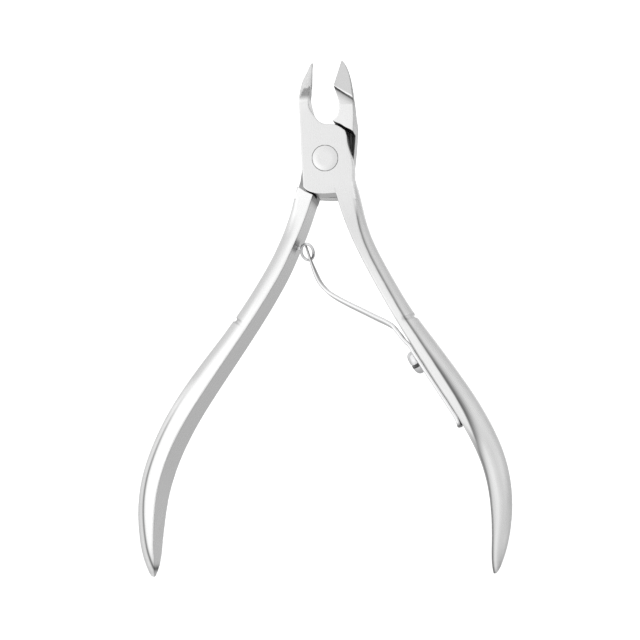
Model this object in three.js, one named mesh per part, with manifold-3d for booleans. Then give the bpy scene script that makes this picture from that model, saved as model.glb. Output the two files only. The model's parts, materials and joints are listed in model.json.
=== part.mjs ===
// Lap-joint cuticle nipper, fully open.
// Units are millimetres. +Z is up, with the jaws at the top; +X is to the right
// and -Y is towards the front face.
// Origin: the point where the pivot axis leaves the flat rear face of the joint.
// The pivot axis is the Y axis. The joint is JOINT_T thick, from Y = 0 (rear)
// to Y = -JOINT_T (front). A depth h is measured from the middle plane of the
// joint towards the front, so Y = MID - h.
// A Vector2 in the front view holds X in its x and Z in its y.
import * as THREE from 'three';
import { mergeVertices } from 'three/addons/utils/BufferGeometryUtils.js';
import { ParametricGeometry } from 'three/addons/geometries/ParametricGeometry.js';
import Module from 'manifold-3d';

const wasm = await Module();
wasm.setup();

// --------------------------------------------------------------------- joint
const JOINT_T = 6.0;
const HALF = JOINT_T / 2;
const MID = -HALF;            // Y of the parting plane
const LAP_GAP = 0.03;         // each lever stands this far off the parting plane
const CLEAR_H = 6;            // a depth beyond both faces of every lever

// ------------------------------------------------------------------- helpers
const point = (x, h, z) => new THREE.Vector3(x, MID - h, z);

// Value at height z in a table of [z, value], listed from the top down.
function valueAt(table, z) {
  if (z >= table[0][0]) return table[0][1];
  for (let i = 1; i < table.length; i++) {
    if (z >= table[i][0]) {
      const [z0, value0] = table[i - 1];
      const [z1, value1] = table[i];
      return value0 + (value1 - value0) * (z - z0) / (z1 - z0);
    }
  }
  return table[table.length - 1][1];
}

// A closed three.js geometry as a solid, turned right side out.
function solid(geometry) {
  const bare = geometry.index ? geometry.toNonIndexed() : geometry.clone();
  for (const name of Object.keys(bare.attributes)) {
    if (name !== 'position') bare.deleteAttribute(name);
  }
  const merged = mergeVertices(bare, 1e-5);
  const index = merged.index.array;
  const triangles = [];
  for (let i = 0; i < index.length; i += 3) {
    const [a, b, c] = index.slice(i, i + 3);
    if (a !== b && b !== c && a !== c) triangles.push(a, b, c);
  }
  const build = () => new wasm.Manifold(new wasm.Mesh({
    numProp: 3,
    vertProperties: new Float32Array(merged.attributes.position.array),
    triVerts: new Uint32Array(triangles),
  }));
  const body = build();
  if (body.volume() >= 0) return body;
  for (let i = 0; i < triangles.length; i += 3) {
    [triangles[i], triangles[i + 1]] = [triangles[i + 1], triangles[i]];
  }
  return build();
}

function toGeometry(body) {
  const mesh = body.getMesh();
  const geometry = new THREE.BufferGeometry();
  const position = new Float32Array(mesh.vertProperties);
  geometry.setAttribute('position', new THREE.BufferAttribute(position, 3));
  geometry.setIndex(new THREE.BufferAttribute(new Uint32Array(mesh.triVerts), 1));
  geometry.computeVertexNormals();
  return geometry;
}

// An outline in X and Z, extruded between two values of h.
function slab(outline, h0, h1) {
  const points = outline.map(([x, z]) => new THREE.Vector2(x, z));
  if (THREE.ShapeUtils.isClockWise(points)) points.reverse();
  const geometry = new THREE.ExtrudeGeometry(new THREE.Shape(points), {
    depth: h1 - h0, bevelEnabled: false, steps: 1,
  });
  geometry.rotateX(Math.PI / 2);
  geometry.translate(0, MID - h0, 0);
  return solid(geometry);
}

// A surface closed at both ends, from rings of equally many points.
function loft(rings) {
  const centre = (ring) => {
    const sum = new THREE.Vector3();
    ring.forEach((corner) => sum.add(corner));
    return sum.divideScalar(ring.length);
  };
  const around = rings[0].length;
  const stacks = rings.length + 1;
  const first = centre(rings[0]);
  const last = centre(rings[rings.length - 1]);
  const surface = (u, v, target) => {
    const j = Math.round(v * stacks);
    const i = Math.round(u * around) % around;
    if (j === 0) target.copy(first);
    else if (j === stacks) target.copy(last);
    else target.copy(rings[j - 1][i]);
  };
  return solid(new ParametricGeometry(surface, around, stacks));
}

// Turns a geometry built along +Y to lie along a unit direction.
function turnTo(geometry, direction) {
  const up = new THREE.Vector3(0, 1, 0);
  geometry.applyQuaternion(new THREE.Quaternion().setFromUnitVectors(up, direction));
}

// Cylinder that starts at a place and runs along a direction.
function rod(start, direction, radius, length, sides) {
  const geometry = new THREE.CylinderGeometry(radius, radius, length, sides);
  geometry.translate(0, length / 2, 0);
  turnTo(geometry, new THREE.Vector3(...direction).normalize());
  geometry.translate(...start);
  return solid(geometry);
}

// A solid of revolution about the pivot axis; the profile is [radius, h].
function turned(profile) {
  const points = profile.map(([radius, h]) => new THREE.Vector2(radius, -h));
  const geometry = new THREE.LatheGeometry(points, 48);
  geometry.translate(0, MID, 0);
  return solid(geometry);
}

// Rotation that lays local x and y along two perpendicular directions.
function basis(xAxis, yAxis) {
  const zAxis = new THREE.Vector3().crossVectors(xAxis, yAxis);
  return new THREE.Matrix4().makeBasis(xAxis, yAxis, zAxis);
}

// Unit normal of a line of [x, z, ...] at one of its stations.
function normalAt(line, i) {
  const before = line[Math.max(0, i - 1)];
  const after = line[Math.min(line.length - 1, i + 1)];
  const run = new THREE.Vector2(after[0] - before[0], after[1] - before[1]).normalize();
  return new THREE.Vector2(-run.y, run.x);
}

// The same on the outer side of a handle: side is 1 for right, -1 for left.
function outwardAt(line, i, side) {
  const normal = normalAt(line, i);
  return normal.x * side < 0 ? normal.negate() : normal;
}

// A section of [distance along the normal, h], set at a station of a line.
const placeSection = (section, [x, z], normal) => section.map(
  ([d, h]) => point(x + normal.x * d, h, z + normal.y * d));

// ------------------------------------------------------------------- handles
// Handle lines: [x, z of the flat inner face in the middle plane, thickness to
// the crown of the rounded outer face].
const LEFT_HANDLE = [
  [-1.30, -4.60, 4.40], [-2.00, -6.40, 4.30], [-2.71, -8.18, 4.10], [-3.44, -10.51, 3.88],
  [-4.32, -13.00, 3.80], [-5.32, -15.52, 3.70], [-6.41, -17.99, 3.62], [-7.51, -20.49, 3.70],
  [-8.70, -22.99, 3.82], [-10.08, -25.49, 3.85], [-11.54, -28.00, 3.89],
  [-12.94, -30.30, 3.93], [-14.83, -33.28, 3.99], [-15.50, -34.30, 3.67],
  [-16.29, -35.51, 4.07], [-17.95, -38.01, 4.17], [-19.95, -40.99, 4.41],
  [-21.97, -44.00, 4.63], [-23.95, -46.99, 4.79], [-25.90, -50.01, 4.89],
  [-27.70, -52.99, 4.93], [-29.35, -56.01, 4.90], [-30.78, -59.00, 4.87],
  [-31.98, -61.99, 4.85], [-32.94, -64.98, 4.82], [-33.66, -68.00, 4.69],
  [-34.11, -70.98, 4.48], [-34.39, -74.00, 4.16], [-34.59, -76.50, 3.72],
  [-34.68, -79.00, 3.28], [-34.74, -80.99, 2.82], [-34.88, -82.60, 2.12],
  [-35.06, -83.90, 1.42], [-35.28, -84.62, 0.80],
];
const RIGHT_HANDLE = [
  [1.20, -4.60, 4.50], [1.88, -6.40, 4.46], [2.50, -8.30, 4.30], [3.18, -10.50, 4.15],
  [4.10, -13.01, 3.85], [5.13, -15.49, 3.60], [6.29, -18.01, 3.48], [7.54, -20.50, 3.48],
  [8.86, -23.00, 3.52], [10.23, -25.50, 3.56], [11.63, -27.99, 3.60], [12.97, -30.31, 3.62],
  [14.17, -32.35, 3.78], [14.74, -33.30, 3.49], [15.31, -34.25, 3.96], [16.07, -35.50, 4.10],
  [17.62, -37.99, 4.40], [19.52, -40.99, 4.68], [21.46, -43.98, 4.90], [23.46, -47.01, 5.05],
  [25.44, -50.00, 5.12], [27.33, -53.00, 5.10], [29.06, -56.01, 5.02], [30.55, -58.99, 4.93],
  [31.75, -62.01, 4.83], [32.60, -65.02, 4.66], [33.14, -68.00, 4.48], [33.47, -71.01, 4.18],
  [33.60, -74.01, 3.81], [33.61, -76.48, 3.42], [33.53, -78.98, 2.95], [33.49, -81.00, 2.42],
  [33.56, -82.52, 1.84], [33.70, -83.40, 1.11], [33.84, -84.00, 0.50],
];
// [z, full depth of a handle from front to back].
const DEPTH_AT = [
  [0, 6.0], [-9, 6.0], [-13, 6.25], [-20, 6.8], [-30, 7.6], [-40, 8.25], [-50, 8.6],
  [-57, 8.8], [-65, 8.35], [-69, 7.7], [-73, 6.9], [-76, 6.2], [-79, 5.4], [-81, 4.4],
  [-82.5, 3.3], [-83.4, 2.3], [-84.2, 1.1], [-85, 0.6],
];
// [z, drop from the crown of the outer face to the ridge along the flat front face].
const LEFT_CROWN = [
  [0, 0.5], [-5, 0.6], [-9, 1.1], [-16, 1.7], [-21, 1.95], [-28, 2.1], [-31, 2.3],
  [-33, 2.55], [-38, 2.85], [-43, 3.0], [-48, 3.15], [-52, 3.4], [-55, 3.8], [-58, 4.2],
  [-61, 4.6], [-90, 4.9],
];
const RIGHT_CROWN = [
  [0, 0.5], [-5, 0.55], [-9, 0.95], [-16, 1.5], [-21, 1.75], [-28, 1.85], [-31, 1.95],
  [-33, 2.15], [-36, 2.3], [-38, 2.5], [-43, 2.85], [-46, 3.05], [-52, 3.45], [-55, 3.8],
  [-58, 4.2], [-61, 4.6], [-90, 4.9],
];
// [z, roundness of the outer face]: 1 is a parabola, 2 an ellipse.
const ROUND_AT = [[0, 1.0], [-31, 1.0], [-34, 1.25], [-50, 1.45], [-60, 1.8], [-90, 2.0]];
const LEAST_FLAT = 0.12;      // least height of the flat front and rear faces
const MOST_CHAMFER = 0.3;     // along the edges of the inner face

// Section of a handle: flat inner face, flat front and rear faces, rounded
// outer face that meets them in a ridge which fades towards the grip.
function handleSection(z, thick, crownAt) {
  const depth = valueAt(DEPTH_AT, z) / 2;
  const crown = Math.min(valueAt(crownAt, z), thick - LEAST_FLAT);
  const roundness = valueAt(ROUND_AT, z);
  const flat = thick - crown;
  const chamfer = Math.min(MOST_CHAMFER, 0.35 * flat, 0.35 * depth);
  const half = [[0, 0], [0, depth * 0.55], [0, depth - chamfer], [chamfer, depth], [flat, depth]];
  for (const across of [0.86, 0.68, 0.48, 0.25]) {
    half.push([flat + crown * (1 - across * across) ** (1 / roundness), depth * across]);
  }
  half.push([thick, 0]);
  const rear = half.slice(1, -1).reverse().map(([d, h]) => [d, -h]);
  return [...half, ...rear];
}

const handle = (line, side, crownAt) => loft(line.map((station, i) => {
  const [, z, thick] = station;
  return placeSection(handleSection(z, thick, crownAt), station, outwardAt(line, i, side));
}));

// ------------------------------------------------------------ lever outlines
// All are [x, z]. Front lever: left jaw, front half of the joint, root of the
// right handle.
const FRONT_OUTLINE = [
  [-3.24, 15.20], [-3.12, 20.36], [-3.28, 20.16], [-3.94, 18.37], [-4.44, 16.97],
  [-4.96, 15.17], [-5.26, 13.41], [-5.36, 12.09], [-5.28, 10.08], [-5.12, 7.66],
  [-4.98, 4.60], [-4.86, 1.62], [-4.63, -2.41], [-4.43, -5.84], [-4.15, -6.18],
  [-2.62, -6.95], [2.22, -7.05], [2.62, -8.25], [6.28, -8.25], [6.04, -6.84], [5.66, -4.43],
  [5.64, -2.01], [5.44, -0.40], [5.04, 1.21], [4.43, 3.63], [4.25, 5.10], [4.03, 5.65],
  [3.05, 6.35], [1.81, 6.86], [0.00, 6.96], [-0.60, 7.12], [-1.21, 7.46], [-1.90, 8.20],
  [-2.62, 9.10], [-3.34, 10.20], [-3.70, 11.00], [-3.88, 12.00], [-3.86, 13.10],
  [-3.66, 14.10], [-3.34, 14.86],
];
// Rear lever: right jaw, rear half of the joint, root of the left handle.
const REAR_OUTLINE = [
  [1.14, 15.95], [2.74, 21.00], [2.96, 20.78], [3.74, 19.64], [4.36, 18.22], [4.84, 16.59],
  [5.20, 14.71], [5.46, 12.74], [5.66, 11.20], [5.74, 9.00], [5.70, 7.00], [5.58, 4.60],
  [5.35, 1.90], [5.05, -0.80], [4.75, -3.40], [4.43, -5.84], [4.15, -6.18], [2.62, -6.95],
  [-2.22, -7.05], [-2.62, -8.25], [-6.25, -8.25], [-5.84, -6.84], [-5.46, -5.60],
  [-5.62, -4.30], [-5.50, -2.60], [-5.22, -0.90], [-5.04, 1.21], [-4.43, 3.63],
  [-4.25, 5.10], [-4.03, 5.65], [-3.05, 6.35], [-1.81, 6.86], [0.00, 6.96], [0.70, 7.14],
  [1.47, 7.58], [2.50, 8.61], [2.78, 9.50], [2.86, 10.40], [2.70, 11.60], [2.34, 12.70],
  [1.84, 14.10], [1.40, 15.24],
];
// The stepped recess in each lever that takes the other one. The rear lever's
// recess is open to the front; the front lever's is its mirror, open to the rear.
const REAR_RECESS = [
  [0.90, 8.60], [1.52, 7.56], [1.96, 7.28], [3.05, 6.86], [4.06, 6.22], [5.06, 5.76],
  [5.86, 5.20], [6.10, 4.00], [9.00, 4.00], [9.00, -9.20], [-0.50, -9.20], [-1.61, -7.85],
  [-2.62, -7.24], [-4.03, -6.62], [-5.14, -5.90], [-6.60, -5.05], [-9.00, -5.05],
  [-9.00, 8.60],
];
const FRONT_RECESS = REAR_RECESS.map(([x, z]) => [-x, z]).reverse();

// -------------------------------------------------------------------- blades
// The cutting edge runs from heel to tip. The line from the heel to end, on the
// outer side, is where the blade stops and the hollow behind it begins.
const FRONT_BLADE = { heel: FRONT_OUTLINE[0], tip: [-3.12, 20.25], end: [-5.42, 12.20], side: -1 };
const REAR_BLADE = { heel: REAR_OUTLINE[0], tip: [2.72, 20.85], end: [5.62, 11.90], side: 1 };
const EDGE_HALF = 0.05;       // half thickness of the cutting edge
const BLADE_HALF = 2.6;       // half thickness of the blade at its outer side
// Region ground to the facets: how far it passes the heel, the end and the tip.
const GRIND = { pastHeel: 1.2, pastEnd: 1.5, outside: 2, top: 23 };
const WEDGE = { behindEdge: 3, pastEdge: 6, length: 24 };
// Round cutter of the hollow: axis at depth h, offset towards the joint from the
// end line, starting before the heel.
const HOLLOW = { radius: 2.4, h: 4.3, offset: 1.6, beforeHeel: 4, length: 14, sides: 28 };

// Wedge between the two facets that meet in the cutting edge, swept along it.
function facetWedge(heel, outward, slope) {
  const { behindEdge, pastEdge, length } = WEDGE;
  const thickEnd = EDGE_HALF + slope * pastEdge;
  const section = [
    [-behindEdge, EDGE_HALF], [-behindEdge, -EDGE_HALF], [0, -EDGE_HALF],
    [pastEdge, -thickEnd], [pastEdge, thickEnd], [0, EDGE_HALF],
  ];
  const shape = new THREE.Shape(section.map(([d, h]) => new THREE.Vector2(d, h)));
  const wedge = new THREE.ExtrudeGeometry(shape, {
    depth: length, bevelEnabled: false, steps: 1,
  });
  wedge.translate(0, 0, -length / 2);
  const frame = basis(new THREE.Vector3(outward.x, 0, outward.y), new THREE.Vector3(0, -1, 0));
  wedge.applyMatrix4(frame.setPosition(heel[0], MID, heel[1]));
  return solid(wedge);
}

// Removes what stands proud of the two facets, and grinds the hollow behind the
// blade in both faces.
function grindBlade(body, { heel, tip, end, side }) {
  const edge = new THREE.Vector2(tip[0] - heel[0], tip[1] - heel[1]).normalize();
  const outward = new THREE.Vector2(edge.y, -edge.x).multiplyScalar(side);
  const heelToEnd = new THREE.Vector2(end[0] - heel[0], end[1] - heel[1]);
  const slope = (BLADE_HALF - EDGE_HALF) / heelToEnd.dot(outward);
  const across = heelToEnd.normalize();
  const region = [
    [heel[0] - across.x * GRIND.pastHeel, heel[1] - across.y * GRIND.pastHeel],
    [end[0] + across.x * GRIND.pastEnd, end[1] + across.y * GRIND.pastEnd],
    [end[0] + side * GRIND.outside, GRIND.top],
    [heel[0] - side * GRIND.pastHeel, GRIND.top],
  ];
  const proud = slab(region, -CLEAR_H, CLEAR_H).subtract(facetWedge(heel, outward, slope));
  let result = body.subtract(proud);

  const down = new THREE.Vector2(across.y, -across.x);
  if (down.y > 0) down.negate();
  const x = heel[0] + down.x * HOLLOW.offset - across.x * HOLLOW.beforeHeel;
  const z = heel[1] + down.y * HOLLOW.offset - across.y * HOLLOW.beforeHeel;
  for (const face of [1, -1]) {
    const start = [x, MID - face * HOLLOW.h, z];
    result = result.subtract(
      rod(start, [across.x, 0, across.y], HOLLOW.radius, HOLLOW.length, HOLLOW.sides));
  }
  return result;
}

// --------------------------------------------------------------------- rivet
const HEAD_R = 2.56;          // rivet heads, ground flush
const HEAD_SEAT_R = 2.63;
const HEAD_T = 1.3;
const HEAD_GAP = 0.04;        // air under each head
const SHANK_R = 1.75;
const SHANK_HOLE_R = 1.83;
const HEAD_H = HALF - HEAD_T; // depth of the underside of the front head

const rivet = () => turned([
  [0, -HALF], [HEAD_R, -HALF], [HEAD_R, -HEAD_H], [SHANK_R, -HEAD_H],
  [SHANK_R, HEAD_H], [HEAD_R, HEAD_H], [HEAD_R, HALF], [0, HALF],
]);

// Hole and head seat: face is 1 for the front lever, -1 for the rear one.
function rivetCutter(face) {
  const past = 1;
  const seatH = HEAD_H - HEAD_GAP;
  const profile = [
    [0, -past], [SHANK_HOLE_R, -past], [SHANK_HOLE_R, seatH],
    [HEAD_SEAT_R, seatH], [HEAD_SEAT_R, HALF + past], [0, HALF + past],
  ].map(([radius, h]) => [radius, face * h]);
  return turned(face > 0 ? profile : profile.reverse());
}

// --------------------------------------------------------------- leaf spring
const STRAP_T = 0.8;
const STRAP_GAP = 0.05;       // air under the strap
const STRAP_MID = STRAP_GAP + STRAP_T / 2;   // handle's inner face to strap centre line
const STRAP_CHAMFER = 0.12;

// Centre line of the free blade, from the tip to where it starts to bend off
// the handle: [x, z, width, thickness if thinner].
const BLADE_LINE = [
  [-4.55, -16.86, 0.66, 0.40], [-4.18, -17.99, 0.80, 0.40], [-3.75, -19.33, 1.00, 0.44],
  [-3.32, -20.57, 1.30, 0.54], [-2.85, -21.81, 1.70, 0.68], [-2.26, -23.26, 2.10],
  [-1.61, -24.52, 2.70], [-0.73, -25.65, 3.20], [0.30, -26.66, 3.60], [1.70, -27.60, 3.90],
  [3.74, -28.72, 4.20], [6.18, -29.92, 4.50], [8.42, -31.02, 4.70], [10.46, -32.02, 4.80],
  [12.14, -32.82, 4.90], [12.93, -33.28, 4.95], [13.55, -33.72, 4.95],
];
// Upper end of the root's centre line: [x, z, width].
const ROOT_LINE = [[13.97, -34.29, 4.98], [14.64, -35.07, 5.0], [15.44, -36.19, 5.0]];
const ROOT_W = 5.0;
const ROOT_FOLLOW = { top: -37, bottom: -52.6 };   // heights where it follows the handle
const TAIL = [27.35, -53.75];          // centre of the tail on the inner face
const TAIL_OUTWARD = [0.856, 0.517];   // into the handle at the tail
const TAIL_W = 4.6;
const TANG = { thick: 0.42, width: 3.0, depth: 0.9, x: TAIL[0] - 0.10, z: TAIL[1] + 0.22 };
const TANG_SLOT = { thick: 0.8, width: 3.4, above: 1.5, depth: TANG.depth + 0.12 };

// A strap of rectangular section along a centre line [x, z, width, thickness].
function strap(line) {
  return loft(line.map((station, i) => {
    const [, , width, thick = STRAP_T] = station;
    const w = width / 2;
    const t = thick / 2;
    const c = Math.min(STRAP_CHAMFER, t * 0.5);
    const section = [
      [-t, w - c], [-t + c, w], [t - c, w], [t, w - c],
      [t, -w + c], [t - c, -w], [-t + c, -w], [-t, -w + c],
    ];
    return placeSection(section, station, normalAt(line, i));
  }));
}

// A bar through the inner face at the tail, long side front to back.
function tangBar(thick, width, above, below) {
  const geometry = new THREE.BoxGeometry(above + below, width, thick);
  geometry.translate((below - above) / 2, 0, 0);
  const outward = new THREE.Vector3(TAIL_OUTWARD[0], 0, TAIL_OUTWARD[1]);
  geometry.applyMatrix4(basis(outward, new THREE.Vector3(0, 1, 0)));
  geometry.translate(TANG.x, MID, TANG.z);
  return solid(geometry);
}

const tangCutter = () => tangBar(
  TANG_SLOT.thick, TANG_SLOT.width, TANG_SLOT.above, TANG_SLOT.depth);

// Strap along the right handle, with its tail bent over into the handle's slot.
function springRoot() {
  const alongHandle = RIGHT_HANDLE
    .map(([x, z], i) => {
      const outward = outwardAt(RIGHT_HANDLE, i, 1);
      return { z, station: [x - outward.x * STRAP_MID, z - outward.y * STRAP_MID, ROOT_W] };
    })
    .filter(({ z }) => z < ROOT_FOLLOW.top && z > ROOT_FOLLOW.bottom)
    .map(({ station }) => station);
  const tail = [
    TAIL[0] - TAIL_OUTWARD[0] * STRAP_MID, TAIL[1] - TAIL_OUTWARD[1] * STRAP_MID, TAIL_W,
  ];
  const tang = tangBar(TANG.thick, TANG.width, STRAP_MID - 0.02, TANG.depth);
  return strap([...ROOT_LINE, ...alongHandle, tail])
    .add(tang)
    .subtract(screwRod(-2, 0.12));
}

const springBlade = () => strap(BLADE_LINE);

// --------------------------------------------------------------------- screw
const SCREW_POINT = [19.02, -40.20];   // screw axis on the right handle's inner face
const SCREW_RUN = new THREE.Vector2(1.90, -3.00).normalize();   // down along that face
const SCREW_AXIS = [SCREW_RUN.y, 0, -SCREW_RUN.x];              // out of that face
const SCREW_HEAD_R = 2.32;
const SCREW_HEAD_T = 1.5;
const SCREW_HEAD_BASE = STRAP_GAP + STRAP_T + 0.03;   // from the inner face
const SCREW_SHANK_R = 1.2;
const SCREW_DEPTH = 2.9;
const SCREW_SLOT = { width: 0.8, depth: 0.75, length: 8 };
const SCREW_SLOT_TURN = 24;   // degrees the slot is turned from front-to-back

const onScrewAxis = (d) => [
  SCREW_POINT[0] + SCREW_AXIS[0] * d, MID, SCREW_POINT[1] + SCREW_AXIS[2] * d];

// Cutter along the screw axis, wider than the shank by a gap.
const screwRod = (start, gap) => rod(
  onScrewAxis(start), SCREW_AXIS, SCREW_SHANK_R + gap, 6, start === -2 ? 24 : 24);

function springScrew() {
  const base = SCREW_HEAD_BASE;
  const profile = [
    [0, -SCREW_DEPTH], [SCREW_SHANK_R, -SCREW_DEPTH], [SCREW_SHANK_R, base],
    [SCREW_HEAD_R, base], [SCREW_HEAD_R, base + SCREW_HEAD_T * 0.55],
    [SCREW_HEAD_R * 0.86, base + SCREW_HEAD_T * 0.92],
    [SCREW_HEAD_R * 0.6, base + SCREW_HEAD_T], [0, base + SCREW_HEAD_T],
  ].map(([radius, y]) => new THREE.Vector2(radius, y));
  const body = new THREE.LatheGeometry(profile, 32);
  const axis = new THREE.Vector3(...SCREW_AXIS);
  turnTo(body, axis);
  body.translate(...onScrewAxis(0));

  const slot = new THREE.BoxGeometry(SCREW_SLOT.depth * 2, SCREW_SLOT.length, SCREW_SLOT.width);
  const turn = THREE.MathUtils.degToRad(SCREW_SLOT_TURN);
  const along = new THREE.Vector3(0, Math.cos(turn), 0)
    .addScaledVector(new THREE.Vector3(SCREW_RUN.x, 0, SCREW_RUN.y), -Math.sin(turn));
  slot.applyMatrix4(basis(axis, along));
  slot.translate(...onScrewAxis(base + SCREW_HEAD_T));
  return solid(body).subtract(solid(slot));
}

// -------------------------------------------------------------------- keeper
const KEEPER_BASE = [-6.06, -17.47];   // keeper stem on the left handle's inner face
const KEEPER_NORMAL = [0.914, -0.405]; // out of that face, towards the right handle
const KEEPER_REACH = 2.09;             // from the face to the loop's centre
const KEEPER_MINOR = 1.40;             // wire centre line, half width along the stem
const KEEPER_MAJOR = 2.10;             // wire centre line, half height
const KEEPER_WIRE_R = 0.26;
const KEEPER_TILT = 50;                // degrees the loop leans out of the front view
const STEM_R = 0.42;
const STEM_DEPTH = 1.6;                // into the handle

// Wire loop on a stem set into the left handle. The loop's plane holds the stem
// and leans forward, so the strap's tip threads it upwards.
function springKeeper() {
  const across = new THREE.Vector3(KEEPER_NORMAL[0], 0, KEEPER_NORMAL[1]).normalize();
  const up = new THREE.Vector3(-across.z, 0, across.x);
  const tilt = THREE.MathUtils.degToRad(KEEPER_TILT);
  const lean = up.multiplyScalar(Math.cos(tilt)).add(new THREE.Vector3(0, -Math.sin(tilt), 0));
  const normal = new THREE.Vector3().crossVectors(across, lean).normalize();
  const centre = point(KEEPER_BASE[0], 0, KEEPER_BASE[1]).addScaledVector(across, KEEPER_REACH);
  const around = 12;
  const along = 30;
  const loop = (u, v, target) => {
    const a = 2 * Math.PI * (Math.round(u * along) % along) / along;
    const b = 2 * Math.PI * (Math.round(v * around) % around) / around;
    const radial = across.clone().multiplyScalar(Math.cos(a) * KEEPER_MAJOR)
      .addScaledVector(lean, Math.sin(a) * KEEPER_MINOR)
      .normalize();
    target.copy(centre)
      .addScaledVector(across, KEEPER_MINOR * Math.cos(a))
      .addScaledVector(lean, KEEPER_MAJOR * Math.sin(a))
      .addScaledVector(radial, KEEPER_WIRE_R * Math.cos(b))
      .addScaledVector(normal, KEEPER_WIRE_R * Math.sin(b));
  };
  const toCentre = KEEPER_REACH + STEM_DEPTH;
  const start = centre.clone().addScaledVector(across, -toCentre);
  const stem = rod(start, across, STEM_R, toCentre - KEEPER_MINOR, 20);
  return solid(new ParametricGeometry(loop, along, around)).add(stem);
}

// Hole in the left handle for the keeper's stem.
function stemCutter() {
  const depth = STEM_DEPTH + 0.1;
  const [x, z] = KEEPER_BASE;
  const [nx, nz] = KEEPER_NORMAL;
  return rod([x - nx * depth, MID, z - nz * depth], [nx, 0, nz], STEM_R + 0.05, 4, 20);
}

// -------------------------------------------------------------------- levers
function frontLever() {
  const blank = slab(FRONT_OUTLINE, -HALF, HALF)
    .add(handle(RIGHT_HANDLE, 1, RIGHT_CROWN))
    .subtract(slab(FRONT_RECESS, -CLEAR_H, LAP_GAP));
  return grindBlade(blank, FRONT_BLADE)
    .subtract(rivetCutter(1))
    .subtract(screwRod(-SCREW_DEPTH - 0.15, 0.06))
    .subtract(tangCutter());
}

function rearLever() {
  const blank = slab(REAR_OUTLINE, -HALF, HALF)
    .add(handle(LEFT_HANDLE, -1, LEFT_CROWN))
    .subtract(slab(REAR_RECESS, -LAP_GAP, CLEAR_H));
  return grindBlade(blank, REAR_BLADE)
    .subtract(rivetCutter(-1))
    .subtract(stemCutter());
}

// ------------------------------------------------------------------ assembly
const steel = ({ color, roughness }) => new THREE.MeshStandardMaterial({
  color, roughness, metalness: 1.0,
});
const SPRING_STEEL = { color: 0xe0e1e1, roughness: 0.25 };

const nipper = new THREE.Group();
function piece(name, body, finish) {
  const mesh = new THREE.Mesh(toGeometry(body), steel(finish));
  mesh.name = name;
  nipper.add(mesh);
}
piece('front_lever', frontLever(), { color: 0xd4d5d6, roughness: 0.32 });
piece('rear_lever', rearLever(), { color: 0xd2d3d4, roughness: 0.33 });
piece('pivot_rivet', rivet(), { color: 0xd8d9d9, roughness: 0.3 });
piece('spring_root', springRoot(), SPRING_STEEL);
piece('spring_blade', springBlade(), SPRING_STEEL);
piece('spring_screw', springScrew(), { color: 0xc8c9ca, roughness: 0.3 });
piece('spring_keeper', springKeeper(), { color: 0xc4c5c6, roughness: 0.28 });

export default nipper;
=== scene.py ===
import json
import math

import bpy
import numpy as np
from mathutils import Matrix, Vector


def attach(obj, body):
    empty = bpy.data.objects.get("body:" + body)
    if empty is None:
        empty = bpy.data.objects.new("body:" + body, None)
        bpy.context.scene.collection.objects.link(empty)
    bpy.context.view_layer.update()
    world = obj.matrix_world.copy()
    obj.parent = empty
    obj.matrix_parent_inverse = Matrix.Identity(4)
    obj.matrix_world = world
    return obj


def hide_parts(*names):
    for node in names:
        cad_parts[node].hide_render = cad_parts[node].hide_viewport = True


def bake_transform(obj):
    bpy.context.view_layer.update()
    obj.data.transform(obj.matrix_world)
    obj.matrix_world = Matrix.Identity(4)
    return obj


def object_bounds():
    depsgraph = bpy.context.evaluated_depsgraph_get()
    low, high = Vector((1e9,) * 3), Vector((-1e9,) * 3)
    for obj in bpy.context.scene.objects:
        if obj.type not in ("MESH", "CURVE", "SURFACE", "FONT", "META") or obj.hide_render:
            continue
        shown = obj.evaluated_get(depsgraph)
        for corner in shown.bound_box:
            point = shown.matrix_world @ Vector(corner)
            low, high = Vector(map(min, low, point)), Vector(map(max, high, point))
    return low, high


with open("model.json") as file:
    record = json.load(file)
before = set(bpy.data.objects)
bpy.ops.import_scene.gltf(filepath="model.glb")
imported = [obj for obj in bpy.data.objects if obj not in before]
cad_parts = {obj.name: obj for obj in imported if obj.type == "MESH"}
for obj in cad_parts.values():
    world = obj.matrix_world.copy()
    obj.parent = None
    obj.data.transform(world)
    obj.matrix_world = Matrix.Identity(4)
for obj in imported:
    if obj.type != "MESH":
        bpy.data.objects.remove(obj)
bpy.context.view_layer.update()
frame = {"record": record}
scene = bpy.context.scene
MM = 0.001

# The pivot comes from the imported record.
JOINTS = {j["name"]: j for j in frame["record"]["behaviour"]["joints"]}
PIVOT = np.array(JOINTS["jaw_pivot"]["pos_m"]) / MM
MID = float(PIVOT[1])
HALF = 3.0
LAP = 0.03

# ---------------------------------------------------------------- dimensions (mm)
# Handle lines: x, z of the flat inner face in the middle plane, thickness to the crown.
LEFT_HANDLE = [
    (-1.30, -4.60, 4.40), (-2.00, -6.40, 4.30), (-2.71, -8.18, 4.10), (-3.44, -10.51, 3.88),
    (-4.32, -13.00, 3.80), (-5.32, -15.52, 3.70), (-6.41, -17.99, 3.62), (-7.51, -20.49, 3.70),
    (-8.70, -22.99, 3.82), (-10.08, -25.49, 3.85), (-11.54, -28.00, 3.89), (-12.94, -30.30, 3.93),
    (-14.83, -33.28, 3.99), (-16.29, -35.51, 4.07), (-17.95, -38.01, 4.17), (-19.95, -40.99, 4.41),
    (-21.97, -44.00, 4.63), (-23.95, -46.99, 4.79), (-25.90, -50.01, 4.89), (-27.70, -52.99, 4.93),
    (-29.35, -56.01, 4.90), (-30.78, -59.00, 4.87), (-31.98, -61.99, 4.85), (-32.94, -64.98, 4.82),
    (-33.66, -68.00, 4.69), (-34.11, -70.98, 4.48), (-34.39, -74.00, 4.16), (-34.59, -76.50, 3.72),
    (-34.68, -79.00, 3.28), (-34.74, -80.99, 2.82), (-34.88, -82.60, 2.12), (-35.06, -83.90, 1.42),
    (-35.28, -84.62, 0.80),
]
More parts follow.
